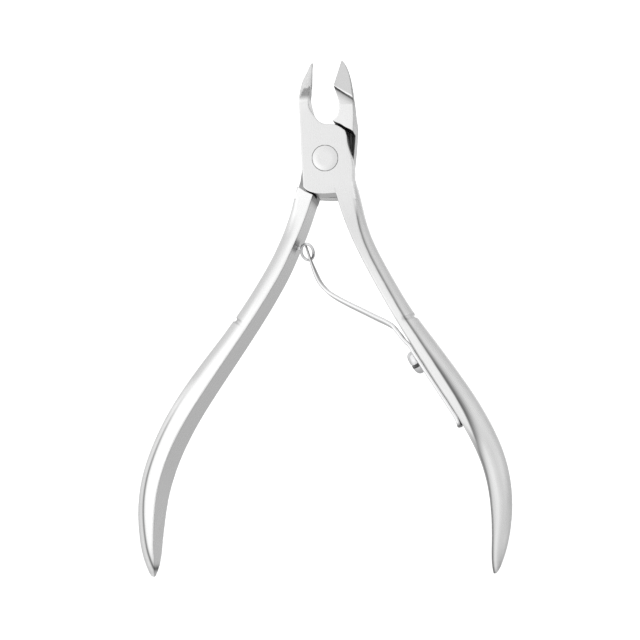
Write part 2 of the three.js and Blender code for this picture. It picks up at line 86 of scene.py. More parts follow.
RIGHT_HANDLE = [
    (1.20, -4.60, 4.50), (1.88, -6.40, 4.46), (2.50, -8.30, 4.30), (3.18, -10.50, 4.15),
    (4.10, -13.01, 3.85), (5.13, -15.49, 3.60), (6.29, -18.01, 3.48), (7.54, -20.50, 3.48),
    (8.86, -23.00, 3.52), (10.23, -25.50, 3.56), (11.63, -27.99, 3.60), (12.97, -30.31, 3.62),
    (14.73, -33.29, 3.85), (16.07, -35.50, 4.10), (17.62, -37.99, 4.40), (19.52, -40.99, 4.68),
    (21.46, -43.98, 4.90), (23.46, -47.01, 5.05), (25.44, -50.00, 5.12), (27.33, -53.00, 5.10),
    (29.06, -56.01, 5.02), (30.55, -58.99, 4.93), (31.75, -62.01, 4.83), (32.60, -65.02, 4.66),
    (33.14, -68.00, 4.48), (33.47, -71.01, 4.18), (33.60, -74.01, 3.81), (33.61, -76.48, 3.42),
    (33.53, -78.98, 2.95), (33.49, -81.00, 2.42), (33.56, -82.52, 1.84), (33.70, -83.40, 1.11),
    (33.84, -84.00, 0.50),
]
DEPTH_AT = [(0, 6.0), (-9, 6.0), (-13, 6.25), (-20, 6.8), (-30, 7.6), (-40, 8.25), (-50, 8.6),
            (-57, 8.8), (-65, 8.35), (-69, 7.7), (-73, 6.9), (-76, 6.2), (-79, 5.4), (-81, 4.4), (-82.5, 3.3),
            (-83.4, 2.3), (-84.2, 1.1), (-85, 0.6)]
CROWN_AT = [(0, 0.5), (-5, 0.6), (-9, 1.1), (-16, 1.7), (-21, 1.95), (-28, 2.1), (-31, 2.3),
            (-33, 2.55), (-38, 2.85), (-43, 3.0), (-48, 3.15), (-52, 3.4), (-55, 3.8), (-58, 4.2), (-61, 4.6),
            (-90, 4.9)]
CROWN_RIGHT = [(0, 0.5), (-5, 0.55), (-9, 0.95), (-16, 1.5), (-21, 1.75), (-28, 1.85), (-31, 1.95), (-33, 2.15),
               (-36, 2.3), (-38, 2.5), (-43, 2.85), (-46, 3.05), (-52, 3.45), (-55, 3.8), (-58, 4.2), (-61, 4.6),
               (-90, 4.9)]
ROUND_AT = [(0, 1.0), (-31, 1.0), (-34, 1.25), (-50, 1.45), (-60, 1.8), (-90, 2.0)]
NOTCH_LEFT, NOTCH_RIGHT = -34.30, -33.30       # groove across the outer face
NOTCH_DEPTH = 0.42
NOTCH_HALF = 0.52

FRONT_OUTLINE = [
    (-3.24, 15.20), (-3.12, 20.36), (-3.28, 20.16), (-3.94, 18.37), (-4.44, 16.97), (-4.96, 15.17),
    (-5.26, 13.41), (-5.36, 12.09), (-5.28, 10.08), (-5.12, 7.66), (-4.98, 4.6), (-4.86, 1.62),
    (-4.63, -2.41), (-4.43, -5.84), (-4.15, -6.18), (-2.62, -6.95), (2.22, -7.05), (2.62, -8.25),
    (6.28, -8.25), (6.04, -6.84), (5.66, -4.43), (5.64, -2.01), (5.44, -0.40), (5.04, 1.21),
    (4.43, 3.63), (4.25, 5.10), (4.03, 5.65), (3.05, 6.35), (1.81, 6.86), (0.00, 6.96),
    (-0.60, 7.12), (-1.21, 7.46), (-1.90, 8.20), (-2.62, 9.10), (-3.20, 10.20), (-3.36, 11.00),
    (-3.46, 12.00), (-3.46, 13.10), (-3.36, 14.10), (-3.34, 14.86),
]
REAR_OUTLINE = [
    (1.14, 15.95), (2.74, 21.00), (2.96, 20.78), (3.74, 19.64), (4.36, 18.22), (4.84, 16.59),
    (5.20, 14.71), (5.46, 12.74), (5.66, 11.20), (5.74, 9.00), (5.70, 7.00), (5.58, 4.60),
    (5.35, 1.90), (5.05, -0.80), (4.75, -3.40), (4.43, -5.84), (4.15, -6.18), (2.62, -6.95),
    (-2.22, -7.05), (-2.62, -8.25), (-6.25, -8.25), (-5.84, -6.84), (-5.46, -5.60), (-5.62, -4.30),
    (-5.50, -2.60), (-5.22, -0.90), (-5.04, 1.21), (-4.43, 3.63), (-4.25, 5.10), (-4.03, 5.65),
    (-3.05, 6.35), (-1.81, 6.86), (0.00, 6.96), (0.70, 7.14), (1.47, 7.58), (2.50, 8.61),
    (2.78, 9.50), (2.86, 10.40), (2.70, 11.60), (2.34, 12.70), (1.84, 14.10), (1.40, 15.24),
]
REAR_RECESS = [
    (0.9, 8.6), (1.52, 7.56), (1.96, 7.28), (3.05, 6.86), (4.06, 6.22), (5.06, 5.76), (5.86, 5.20), (6.10, 4.00),
    (9, 4.0), (9, -9.2), (-0.5, -9.2), (-1.61, -7.85), (-2.62, -7.24), (-4.03, -6.62), (-5.14, -5.90),
    (-6.6, -5.05), (-9, -5.05), (-9, 8.6),
]
FRONT_BLADE = dict(heel=(-3.24, 15.20), tip=(-3.12, 20.25), end=(-5.42, 12.20), side=-1)
REAR_BLADE = dict(heel=(1.14, 15.95), tip=(2.72, 20.85), line_from=(1.30, 15.22), end=(5.52, 12.30), side=1)
EDGE_HALF = 0.07
BLADE_H = 2.6
HOLLOW_DEEP = 0.75
HOLLOW_FOOT = 10.9

HEAD_R, HEAD_SEAT_R, HEAD_T, SHANK_R, SHANK_HOLE_R = 2.56, 2.63, 1.3, 1.75, 1.83
STRAP_T, STRAP_GAP = 0.8, 0.05
SCREW_POINT = (19.02, -40.20)
SCREW_HEAD_R, SCREW_HEAD_T, SCREW_SLOT_W, SCREW_SLOT_D, SCREW_SLOT_TURN = 2.45, 1.5, 0.8, 0.75, 24
SCREW_SHANK_R, SCREW_DEPTH = 1.2, 2.9
KEEPER_BASE, KEEPER_N = (-6.06, -17.47), (0.914, -0.405)
KEEPER_REACH, KEEPER_MINOR, KEEPER_MAJOR = 2.05, 1.36, 2.04
KEEPER_WIRE_R, KEEPER_TILT, KEEPER_STEM_R, KEEPER_STEM_DEPTH = 0.29, 50, 0.42, 1.6
BLADE_LINE = [
    (-4.55, -16.86, 0.66), (-4.18, -17.99, 0.80), (-3.75, -19.33, 1.00), (-3.32, -20.57, 1.30),
    (-2.85, -21.81, 1.70), (-2.26, -23.26, 2.10), (-1.61, -24.52, 2.70), (-0.73, -25.65, 3.2),
    (0.30, -26.66, 3.6), (1.70, -27.60, 3.9), (3.74, -28.72, 4.2), (6.18, -29.92, 4.5),
    (8.42, -31.02, 4.7), (10.46, -32.02, 4.8), (12.14, -32.82, 4.9), (12.93, -33.28, 4.95),
]
FLEX = (13.55, -33.72)
ROOT_LINE = [(13.97, -34.29), (14.64, -35.07), (15.44, -36.19)]
TAIL = (27.35, -53.75)
TANG_DEPTH = 0.9


# ---------------------------------------------------------------- small tools
def lerp_at(table, z):
    t = sorted(table)
    return np.interp(z, [p[0] for p in t], [p[1] for p in t])


def natural_spline(t, y, q):
    """Natural cubic spline through (t, y), read at q."""
    n = len(t)
    h = np.diff(t)
    a = np.zeros((n, n))
    r = np.zeros(n)
    a[0, 0] = a[-1, -1] = 1
    for i in range(1, n - 1):
        a[i, i - 1], a[i, i], a[i, i + 1] = h[i - 1], 2 * (h[i - 1] + h[i]), h[i]
        r[i] = 6 * ((y[i + 1] - y[i]) / h[i] - (y[i] - y[i - 1]) / h[i - 1])
    m = np.linalg.solve(a, r)
    k = np.clip(np.searchsorted(t, q) - 1, 0, n - 2)
    d = q - t[k]
    b = (y[k + 1] - y[k]) / h[k] - h[k] * (2 * m[k] + m[k + 1]) / 6
    return y[k] + b * d + m[k] / 2 * d ** 2 + (m[k + 1] - m[k]) / (6 * h[k]) * d ** 3


def smooth_ends(y, sigma):
    """Gaussian smoothing that keeps both ends on their tangent."""
    r = int(4 * sigma)
    k = np.exp(-0.5 * (np.arange(-r, r + 1) / sigma) ** 2)
    k /= k.sum()
    left = 2 * y[0] - y[1:r + 1][::-1]
    right = 2 * y[-1] - y[-r - 1:-1][::-1]
    return np.convolve(np.concatenate([left, y, right]), k, "valid")


class Spine:
    """A handle's inner face line, evenly resampled, with its normal and tables."""

    def __init__(self, rows, outward, crown_rows, notch_z, step=0.2):
        p = np.array(rows, float)
        t = np.concatenate([[0], np.cumsum(np.hypot(*np.diff(p[:, :2], axis=0).T))])
        self.s = np.arange(0, t[-1] + step / 2, step)
        self.s[-1] = min(self.s[-1], t[-1])
        x = smooth_ends(natural_spline(t, p[:, 0], self.s), 1.3 / step)
        z = smooth_ends(natural_spline(t, p[:, 1], self.s), 1.3 / step)
        thick = np.interp(self.s, t, p[:, 2])
        soft = smooth_ends(thick, 1.6 / step)
        near_end = np.clip((self.s[-1] - self.s) / 4.0, 0, 1)
        self.thick = thick * (1 - near_end) + soft * near_end
        self.q = np.stack([x, z], 1)
        tan = np.gradient(self.q, self.s, axis=0)
        self.t = tan / np.linalg.norm(tan, axis=1, keepdims=True)
        n = np.stack([-self.t[:, 1], self.t[:, 0]], 1)
        if n[len(n) // 2, 0] * outward < 0:
            n = -n
        self.n = n
        self.z = z
        self.end = float(self.s[-1])
        self.half = smooth_ends(lerp_at(DEPTH_AT, z) / 2, 4)
        self.half = np.where(self.s > self.end - 3, lerp_at(DEPTH_AT, z) / 2, self.half)
        crown = smooth_ends(lerp_at(crown_rows, z), 8)
        self.crown = np.minimum(crown, self.thick - 0.12)
        self.power = smooth_ends(lerp_at(ROUND_AT, z), 8)
        self.notch_s = float(np.interp(-notch_z, -z, self.s))

    def locate(self, x, z):
        """Arc length along the line and distance from it, positive outwards."""
        s = np.empty(len(x))
        for a in range(0, len(x), 20000):
            b = slice(a, a + 20000)
            d2 = (x[b, None] - self.q[None, ::2, 0]) ** 2 + (z[b, None] - self.q[None, ::2, 1]) ** 2
            s[b] = self.s[::2][d2.argmin(1)]
        for _ in range(3):
            q = np.stack([np.interp(s, self.s, self.q[:, k]) for k in (0, 1)], 1)
            t = np.stack([np.interp(s, self.s, self.t[:, k]) for k in (0, 1)], 1)
            s = s + ((x - q[:, 0]) * t[:, 0] + (z - q[:, 1]) * t[:, 1])
            s = np.clip(s, -6, self.end + 6)
        i = np.clip(s, 0, self.end)
        q = np.stack([np.interp(i, self.s, self.q[:, k]) for k in (0, 1)], 1)
        t = np.stack([np.interp(i, self.s, self.t[:, k]) for k in (0, 1)], 1)
        n = np.stack([np.interp(i, self.s, self.n[:, k]) for k in (0, 1)], 1)
        q = q + t * (s - i)[:, None]
        return s, (x - q[:, 0]) * n[:, 0] + (z - q[:, 1]) * n[:, 1]


def smax(a, b, k):
    return np.maximum(a, b) + np.maximum(k - np.abs(a - b), 0) ** 2 / (4 * k)


def dense_outline(points, step=0.18, corner=27):
    """A closed outline, splined between its corners."""
    p = np.array(points, float)
    n = len(p)
    a = p - np.roll(p, 1, 0)
    b = np.roll(p, -1, 0) - p
    turn = np.degrees(np.abs(np.arctan2(a[:, 0] * b[:, 1] - a[:, 1] * b[:, 0], (a * b).sum(1))))
    sharp = [i for i in range(n) if turn[i] > corner]
    out = []
    for c, i in enumerate(sharp):
        j = sharp[(c + 1) % len(sharp)]
        run = [p[k % n] for k in range(i, j + (n if j <= i else 0) + 1)]
        run = np.array(run)
        t = np.concatenate([[0], np.cumsum(np.hypot(*np.diff(run, axis=0).T))])
        q = np.linspace(0, t[-1], max(2, int(t[-1] / step) + 1))
        if len(run) > 2:
            seg = np.stack([natural_spline(t, run[:, k], q) for k in (0, 1)], 1)
        else:
            seg = np.stack([np.interp(q, t, run[:, k]) for k in (0, 1)], 1)
        out.append(seg[:-1])
    return np.concatenate(out)


def polygon_distance(x, z, poly):
    """Signed distance to a closed polygon, negative inside."""
    best = np.full(len(x), 1e9)
    inside = np.zeros(len(x), bool)
    for (ax, az), (bx, bz) in zip(poly, np.roll(poly, -1, 0)):
        ex, ez = bx - ax, bz - az
        t = np.clip(((x - ax) * ex + (z - az) * ez) / (ex * ex + ez * ez + 1e-12), 0, 1)
        best = np.minimum(best, (x - ax - t * ex) ** 2 + (z - az - t * ez) ** 2)
        hit = (az > z) != (bz > z)
        if abs(ez) > 1e-12:
            inside ^= hit & (x < ax + (z - az) * ex / ez)
    d = np.sqrt(best)
    return np.where(inside, -d, d)


# ---------------------------------------------------------------- lever shape
class Lever:
    """One forging as a distance-like field: joint plate, blade and handle."""

    def __init__(self, spine, outline, recess, blade, open_side):
        self.spine = spine
        self.outline = dense_outline(outline)
        self.recess = np.array(recess, float)
        self.blade = blade
        self.open_side = open_side      # +1: the recess is open to the front
        # painted shade along the cutting edge, stronger on the front lever
        self.edge_dark = 0.24 if open_side > 0 else 0.38
        h, t, e = (np.array(blade[k]) for k in ("heel", "tip", "end"))
        self.heel = h
        edge = (t - h) / np.linalg.norm(t - h)
        self.inward = np.array([edge[1], -edge[0]]) * blade["side"]
        self.start = np.array(blade.get("line_from", blade["heel"]))
        line = (e - self.start) / np.linalg.norm(e - self.start)
        self.line = line
        self.length = float(np.linalg.norm(e - self.start))
        up = np.array([-line[1], line[0]])
        self.up = up if up[1] > 0 else -up
        self.slope = (BLADE_H - EDGE_HALF) / float((e - h) @ self.inward)

    def maps(self, x, z):
        """Everything that doesn't depend on the depth."""
        s, d = self.spine.locate(x, z)
        head = z > -12
        out = np.full(len(x), 50.0)
        rec = np.full(len(x), 50.0)
        out[head] = polygon_distance(x[head], z[head], self.outline)
        rec[head] = polygon_distance(x[head], z[head], self.recess)
        rx, rz = x - self.heel[0], z - self.heel[1]
        lx, lz = x - self.start[0], z - self.start[1]
        return dict(s=s, d=d, out=out, rec=rec, x=x, z=z,
                    a=rx * self.inward[0] + rz * self.inward[1],
                    b=lx * self.up[0] + lz * self.up[1],
                    c=lx * self.line[0] + lz * self.line[1])

    def painted_shade_and_reflections(self, z, h, d, w, flat, crown, thick, handle):
        """Painted shade and painted reflections along the handle, by place across it."""
        ah = np.abs(h)
        face = handle & (ah > 0.55 * w)
        u = np.clip((d - flat) / crown, 0, 1)
        grip = np.clip((-50 - z) / 8, 0, 1)
        if self.open_side < 0:
            # front lever: plate and crown painted lighter or darker, painted reflections banding the grip, painted
            # shade in lines along the face and at the notch
            plate = np.interp(-z, [-12, -9, 5, 9, 14, 19, 24, 30, 90], [1, 0.93, 0.93, 0.90, 0.86, 0.90, 0.95, 1, 1])
            lo = np.interp(-z, [0, 32, 35, 90], [1.0, 1.0, 0.86, 0.86])
            bulge = lo + (1.10 - lo) * u
            place = d * 1.5 / np.interp(-z, [60, 69, 73, 77, 82], [1.5, 1.5, 1.25, 0.95, 0.7])
            across = np.interp(place, [0.3, 0.8, 1.3, 1.7, 2.1, 2.7, 3.5, 4.3], [0.82, 0.92, 1.10, 1.10, 0.95, 0.85, 0.88, 1.08])
            tone = np.where(handle & (d > flat), bulge, plate)
            tone = tone * (1 - grip * handle) + across * grip * handle
            o = d - flat
            wide = np.interp(-z, [0, 30, 38, 44, 50, 56, 90], [0.28, 0.30, 0.45, 0.80, 0.95, 0.9, 0.3])
            deep = np.interp(-z, [9, 12, 38, 44, 52, 56, 60, 66, 90], [0.0, 0.70, 0.72, 0.80, 0.80, 0.72, 0.35, 0, 0])
            tone = tone * (1 - deep * np.where(o < 0, np.exp(-(o / 0.11) ** 2), np.exp(-(o / wide) ** 2)) * face)
            deep = np.interp(-z, [12, 30, 36, 38, 50, 55, 60, 68, 83, 90], [0.12, 0.16, 0.5, 0.7, 0.4, 0.3, 0.55, 0.72, 0.74, 0.3])
            place = np.interp(-z, [53, 56, 64, 70], [0.16, 0.34, 0.32, 0.20])
            width = np.interp(-z, [53, 56, 64, 70], [0.12, 0.36, 0.30, 0.21])
            tone = tone * (1 - deep * np.exp(-((d - place) / width) ** 2) * face)
            tone = tone * (1 - 0.35 * np.exp(-((z + 32.5) / 0.55) ** 2 - ((o + 0.15) / 0.3) ** 2) * face)
        else:
            # rear lever: handle painted brighter, painted shade along the inner face's edges and at the crotch, a
            # painted reflection of the keeper's base, painted reflection and shade bands along the crown
            inner = handle & (d < 0.07) & (d > -0.3)
            tone = np.where(inner, 1.09, np.where(handle, 1.09, 1.0))
            tone = tone * (1 - 0.32 * np.exp(-((w - ah) / 0.24) ** 2) * inner)
            tone = tone * (1 - 0.64 * np.exp(-((z + 17.4) / 1.15) ** 4) * np.clip((h + 0.3) / 0.6, 0, 1) * inner)
            tone = tone * (1 - 0.75 * np.exp(-((z + 7.6) / 1.1) ** 2) * inner)
            o = d - thick
            deep = np.interp(-z, [46, 50, 54, 58, 64, 76, 82, 84.5], [0, 0.3, 0.52, 0.62, 0.72, 0.74, 0.84, 0.84])
            tone = tone * (1 - deep * np.exp(-((o + 1.9) / 0.30) ** 2) * handle)
            tone = tone * (1 - np.interp(-z, [46, 52, 90], [0, 0.13, 0.15]) * np.clip((o + 1.75) / 0.3, 0, 1) * handle)
            deep = np.interp(-z, [11, 16, 44, 50], [0, 0.34, 0.36, 0])
            tone = tone * (1 - deep * np.exp(-np.abs((o + 1.45) / 1.0) ** 3) * handle)
        return tone

    def hollow(self, m):
        """Share of the way from the blade's end line to the foot of the hollow, and its whole run."""
        back = np.maximum(-m["b"], 0)
        left = np.maximum(m["z"] - HOLLOW_FOOT, 0)
        return np.where(m["z"] > HOLLOW_FOOT, back / (back + left + 1e-9), 1.0), back + left

    def field(self, m, h):
        """m: maps of the columns, h: depths towards the front. Columns by depths."""
        sp = self.spine
        i = np.clip(m["s"], 0, sp.end)
        get = lambda y: np.interp(i, sp.s, y)[:, None]
        w, thick, crown, power = get(sp.half), get(sp.thick), get(sp.crown), get(sp.power)
        d = m["d"][:, None]
        groove = NOTCH_DEPTH * np.clip(1 - ((m["s"] - sp.notch_s) / NOTCH_HALF) ** 2, 0, 1) ** 0.75
        thick = thick - groove[:, None]
        crown = np.minimum(crown, thick - 0.1)
        flat = thick - crown
        ah = np.abs(h)[None, :]
        u = (d - flat) / crown
        up = np.maximum(u, 0)
        a = ah / w
        g = np.where(u > 0, up ** power, u) + a * a - 1
        gd = np.where(u > 0, power * np.maximum(up, 0.02) ** (power - 1), 1.0) / crown
        field = g / np.sqrt(gd ** 2 + (2 * a / w) ** 2 + 1e-6)
        field = smax(field, ah - w, 0.04 + 0.22 * np.clip(2 - power, 0, 1))
        field = smax(field, -d + np.zeros_like(ah), 0.24)
        field = smax(field, (m["s"] - sp.end)[:, None] + np.zeros_like(ah), 0.25)
        field = np.maximum(field, -m["s"][:, None])
        out = m["out"][:, None]
        if self.open_side > 0:
            draft = 0.42 * np.clip((m["z"] - 7.5) / 3, 0, 1) * (m["x"] > 0)
            back = np.clip((0.8 - h) / 3.8, 0, 1)[None, :]
        else:
            draft = 0.45 * np.clip((m["z"] - 10.2) / 3, 0, 1) * (m["x"] < 0)
            back = np.clip((-0.25 - h) / 1.6, 0, 1)[None, :]
        plate = smax(out + draft[:, None] * back, ah - HALF, 0.22)
        field = np.minimum(field, plate)
        # blade facets
        facet = EDGE_HALF + self.slope * np.maximum(m["a"], -0.2)
        cut = (ah - facet[:, None]) / math.hypot(1, self.slope)
        b = m["b"][:, None]
        field = smax(field, np.minimum(cut, b + 0.0 * ah), 0.05)
        # hollow behind the blade
        t, run = self.hollow(m)
        near = np.clip(m["c"] / self.length, 0, 1)
        floor = HALF - 0.5 - HOLLOW_DEEP * (1 - near)
        rise = t * t * (3 - 2 * t)
        top = floor + (HALF + 0.01 - floor) * rise
        slope = 1.35
        zone = np.minimum(-b, (m["out"][:, None] < 3) * 9.0 + 0 * b)
        hollow = (ah - top[:, None]) / slope
        hollow = np.where((t < 1)[:, None], hollow, -9.0)
        hollow = np.where((m["s"] > 2)[:, None], -9.0, hollow)
        field = smax(field, np.minimum(hollow, zone), 0.06)
        # recess that takes the other lever
        side = self.open_side * h[None, :]
        field = smax(field, np.minimum(-m["rec"][:, None], side + LAP), 0.06)
        return field


def graded(lo, hi, fine, fine_lo, fine_hi, coarse):
    parts = []
    if lo < fine_lo:
        parts.append(np.arange(lo, fine_lo, coarse))
    parts.append(np.arange(max(lo, fine_lo), min(hi, fine_hi), fine))
    if hi > fine_hi:
        parts.append(np.arange(fine_hi, hi + coarse, coarse))
    v = np.concatenate(parts)
    return v[np.concatenate([[True], np.diff(v) > 0.3 * fine])]


def surface_nets(xs, zs, hs, volume):
    """Quads around the zero of a sampled field (x, z, h)."""
    inside = volume < 0
    nx, nz, nh = volume.shape
    count = np.zeros((nx - 1, nz - 1, nh - 1), np.int8)
    for i in (0, 1):
        for j in (0, 1):
            for k in (0, 1):
                count += inside[i:nx - 1 + i, j:nz - 1 + j, k:nh - 1 + k]
    cells = np.argwhere((count > 0) & (count < 8))
    index = np.full(count.shape, -1, np.int32)
    index[tuple(cells.T)] = np.arange(len(cells))
    ci, cj, ck = cells.T
    total = np.zeros((len(cells), 3))
    hits = np.zeros(len(cells))
    axes = (xs, zs, hs)
    for axis in range(3):
        o1, o2 = [k for k in range(3) if k != axis]
        for p in (0, 1):
            for q in (0, 1):
                start = cells.copy()
                start[:, o1] += p
                start[:, o2] += q
                stop = start.copy()
                stop[:, axis] += 1
                f0, f1 = volume[tuple(start.T)], volume[tuple(stop.T)]
                cross = (f0 < 0) != (f1 < 0)
                t = np.where(cross, f0 / np.where(cross, f0 - f1, 1), 0)
                point = np.stack([axes[k][start[:, k]] for k in range(3)], 1).astype(float)
                point[:, axis] += t * (axes[axis][stop[:, axis]] - axes[axis][start[:, axis]])
                total[cross] += point[cross]
                hits[cross] += 1
    points = total / hits[:, None]
    quads = []
    for axis in range(3):
        o1, o2 = [k for k in range(3) if k != axis]
        sl0 = [slice(None)] * 3
        sl1 = [slice(None)] * 3
        sl0[axis], sl1[axis] = slice(0, -1), slice(1, None)
        change = inside[tuple(sl0)] != inside[tuple(sl1)]
        e = np.argwhere(change)
        size = count.shape
        ok = (e[:, o1] > 0) & (e[:, o2] > 0) & (e[:, o1] < size[o1]) & (e[:, o2] < size[o2])
        e = e[ok]
        first = inside[tuple(e.T)]
        corner = []
        for p, q in ((-1, -1), (0, -1), (0, 0), (-1, 0)):
            c = e.copy()
            c[:, o1] += p
            c[:, o2] += q
            corner.append(index[tuple(c.T)])
        quad = np.stack(corner, 1)
        # winding: o1 x o2 points along +axis for axes 0 and 2, along -axis for axis 1
        flip = first if axis == 1 else ~first
        quad[flip] = quad[flip][:, ::-1]
        quads.append(quad)
    return points, np.concatenate(quads)


def new_mesh(name, verts_mm, faces, smooth_angle=None):
    """A mesh object from millimetre points given as x, z, h or x, y, z."""
    mesh = bpy.data.meshes.new(name)
    mesh.from_pydata([], [], [])
    faces = [tuple(f) for f in faces] if not isinstance(faces, np.ndarray) else faces
    v = np.asarray(verts_mm, np.float64) * MM
    if isinstance(faces, np.ndarray):
        k = faces.shape[1]
        mesh.vertices.add(len(v))
        mesh.vertices.foreach_set("co", v.astype(np.float32).ravel())
        mesh.loops.add(faces.size)
        mesh.loops.foreach_set("vertex_index", faces.astype(np.int32).ravel())
        mesh.polygons.add(len(faces))
        mesh.polygons.foreach_set("loop_start", (np.arange(len(faces)) * k).astype(np.int32))
        mesh.update(calc_edges=True)
    else:
        mesh = bpy.data.meshes.new(name)
        mesh.from_pydata([tuple(p) for p in v], [], faces)
        mesh.update()
    mesh.validate()
    mesh.polygons.foreach_set("use_smooth", np.ones(len(mesh.polygons), bool))
    if smooth_angle:
        mesh.set_sharp_from_angle(angle=math.radians(smooth_angle))
    obj = bpy.data.objects.new(name, mesh)
    scene.collection.objects.link(obj)
    return obj


def attribute(obj, name, values):
    at = obj.data.attributes.new(name, "FLOAT", "POINT")
    at.data.foreach_set("value", np.asarray(values, np.float32))


def build_lever(name, lever):
    sp = lever.spine
    lo_x = min(sp.q[:, 0].min() - 6.5, -7.0)
    hi_x = max(sp.q[:, 0].max() + 6.5, 7.0)
    fine, coarse = ((0.1, 0.16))
    xs = graded(lo_x, hi_x, fine, -6.6, 6.9, coarse)
    zs = graded(sp.q[:, 1].min() - 1.2, 21.3, fine, -9.5, 21.3, coarse)
    hs = graded(-4.7, 4.7, fine * 1.3, -4.7, 4.7, coarse)
    gx, gz = np.meshgrid(xs, zs, indexing="ij")
    fx, fz = gx.ravel(), gz.ravel()
    # columns near the part
    s, d = sp.locate(fx, fz)
    close = (d > -0.7) & (d < 6.0) & (s > -1) & (s < sp.end + 1.0)
    close |= (np.abs(fx) < 6.6) & (fz > -9.4) & (fz < 21.2)
    keep = np.flatnonzero(close)
    volume = np.full((len(fx), len(hs)), 5.0, np.float32)
    for a in range(0, len(keep), 12000):
        k = keep[a:a + 12000]
        volume[k] = lever.field(lever.maps(fx[k], fz[k]), hs)
    volume = volume.reshape(len(xs), len(zs), len(hs))
    points, quads = surface_nets(xs, zs, hs, volume)
    m = lever.maps(points[:, 0], points[:, 1])
    xyz = np.stack([points[:, 0], MID - points[:, 2], points[:, 1]], 1)
    # the map (x, z, h) -> (x, MID - h, z) keeps the handedness
    obj = new_mesh(name, xyz, quads, 38)
    i = np.clip(m["s"], 0, sp.end)
    flat = np.interp(i, sp.s, sp.thick - sp.crown)
    w = np.interp(i, sp.s, sp.half)
    power = np.interp(i, sp.s, sp.power)
    ah = np.abs(points[:, 2])
    on_handle = np.clip((m["s"] - 1.5) / 3.0, 0, 1)
    attribute(obj, "along", m["s"] * on_handle + (1 - on_handle) * (30 - points[:, 1]))
    attribute(obj, "across", m["d"] * on_handle + (1 - on_handle) * points[:, 0])
    attribute(obj, "depth", points[:, 2])
    blade = (m["b"] > 0.02) & (m["a"] > -0.3) & (points[:, 1] > 10)
    attribute(obj, "handle", on_handle)
    # painted shade on the hidden faces of the lap: floor and walls of the recess, lighter on the sliver at the lower
    # left
    side = lever.open_side * points[:, 2]
    lap = np.clip((0.10 - m["rec"]) / 0.06, 0, 1) * np.clip((side + 0.14) / 0.06, 0, 1)
    sliver = (points[:, 0] < -4.2) & (points[:, 1] < 3.0)
    lap = lap * np.where(sliver, 0.62, 0.95)
    z, h, d = points[:, 1], points[:, 2], m["d"]
    jaw = (z > 9.5) & (m["out"] < 1)
    near = np.clip(m["c"] / lever.length, 0, 1)
    # front lever: painted shade over the upper hollow behind the blade; rear lever: a painted shadow line under the
    # blade's end line fading into painted shade below
    below = np.clip((0.10 - m["b"]) / 0.12, 0, 1) * (ah < HALF - 0.004) * jaw
    if lever.open_side < 0:
        shade_paint = 0.62 * np.clip((z - 11.7) / 1.2, 0, 1) * below
    else:
        line = np.exp(-((m["b"] + 0.26) / (0.46 - 0.22 * near)) ** 2) * (1 - 0.12 * near)
        shade_paint = np.maximum(line, np.exp(np.minimum(m["b"], 0) / 0.85) * (1 - 0.15 * near)) * below
    attribute(obj, "cavity_shade", np.maximum(lap, shade_paint))
    # painted shade on the blade facet and a painted highlight along its end line
    attribute(obj, "blade", np.where(blade, 1 - 1.5 * np.exp(-((m["b"] - 0.20) / 0.15) ** 2), 0))
    # painted shade along the cutting edge and along the outline on the blade
    edge = np.exp(-(m["a"] / 0.16) ** 2) * lever.edge_dark + 0.22 * np.exp(-(m["out"] / 0.16) ** 2)
    tone = np.where(blade, 1 - np.minimum(edge, 0.5), 1.0)
    # painted shade on the rear lever's right side wall, darker at the jaw
    if lever.open_side > 0:
        rim = (points[:, 0] > 3.6) & (z > -8) & (ah < HALF - 0.12) & (m["out"] > -0.12)
        tone = np.where(rim, np.where(points[:, 1] > 7, 0.62, 0.71), tone)
    # tone attribute: painted shade and painted reflections
    attribute(obj, "tone", tone * lever.painted_shade_and_reflections(z, h, d, w, flat, np.interp(i, sp.s, sp.crown), np.interp(i, sp.s, sp.thick), m["s"] > 1.5))
    return obj


def apply_boolean(obj, cutter, solver="EXACT"):
    mod = obj.modifiers.new("cut", "BOOLEAN")
    mod.operation = "DIFFERENCE"
    mod.object = cutter
    mod.solver = solver
    dg = bpy.context.evaluated_depsgraph_get()
    mesh = bpy.data.meshes.new_from_object(obj.evaluated_get(dg))
    obj.modifiers.clear()
    old = obj.data
    if len(mesh.polygons) > 0.5 * len(old.polygons):
        obj.data = mesh
    bpy.data.objects.remove(cutter)


def basis(axis):
    """Two unit vectors square to a direction."""
    n = Vector(axis).normalized()
    u = n.cross(Vector((0, 1, 0)))
    if u.length < 0.1:
        u = n.cross(Vector((1, 0, 0)))
    u.normalize()
    return n, u, n.cross(u)


def revolve(name, profile, point, axis, sides=96, smooth=35):
    """Solid of revolution: profile rows are radius, distance along the axis from the point."""
    n, u, v = basis(axis)
    p = Vector(point)
    verts, faces, rings = [], [], []
    for r, t in profile:
        if r < 1e-6:
            rings.append([len(verts)])
            verts.append(tuple(p + n * t))
        else:
            rings.append(list(range(len(verts), len(verts) + sides)))
            for k in range(sides):
                a = 2 * math.pi * k / sides
                verts.append(tuple(p + n * t + u * (r * math.cos(a)) + v * (r * math.sin(a))))
    for lo, hi in zip(rings, rings[1:]):
        for k in range(sides):
            m = (k + 1) % sides
            if len(lo) == 1 and len(hi) == 1:
                continue
            if len(lo) == 1:
                faces.append((lo[0], hi[m], hi[k]))
            elif len(hi) == 1:
                faces.append((lo[k], lo[m], hi[0]))
            else:
                faces.append((lo[k], lo[m], hi[m], hi[k]))
    obj = new_mesh(name, verts, faces, smooth)
    fix_normals(obj)
    return obj


def fix_normals(obj):
    import bmesh
    bm = bmesh.new()
    bm.from_mesh(obj.data)
    bmesh.ops.recalc_face_normals(bm, faces=bm.faces)
    bm.to_mesh(obj.data)
    bm.free()


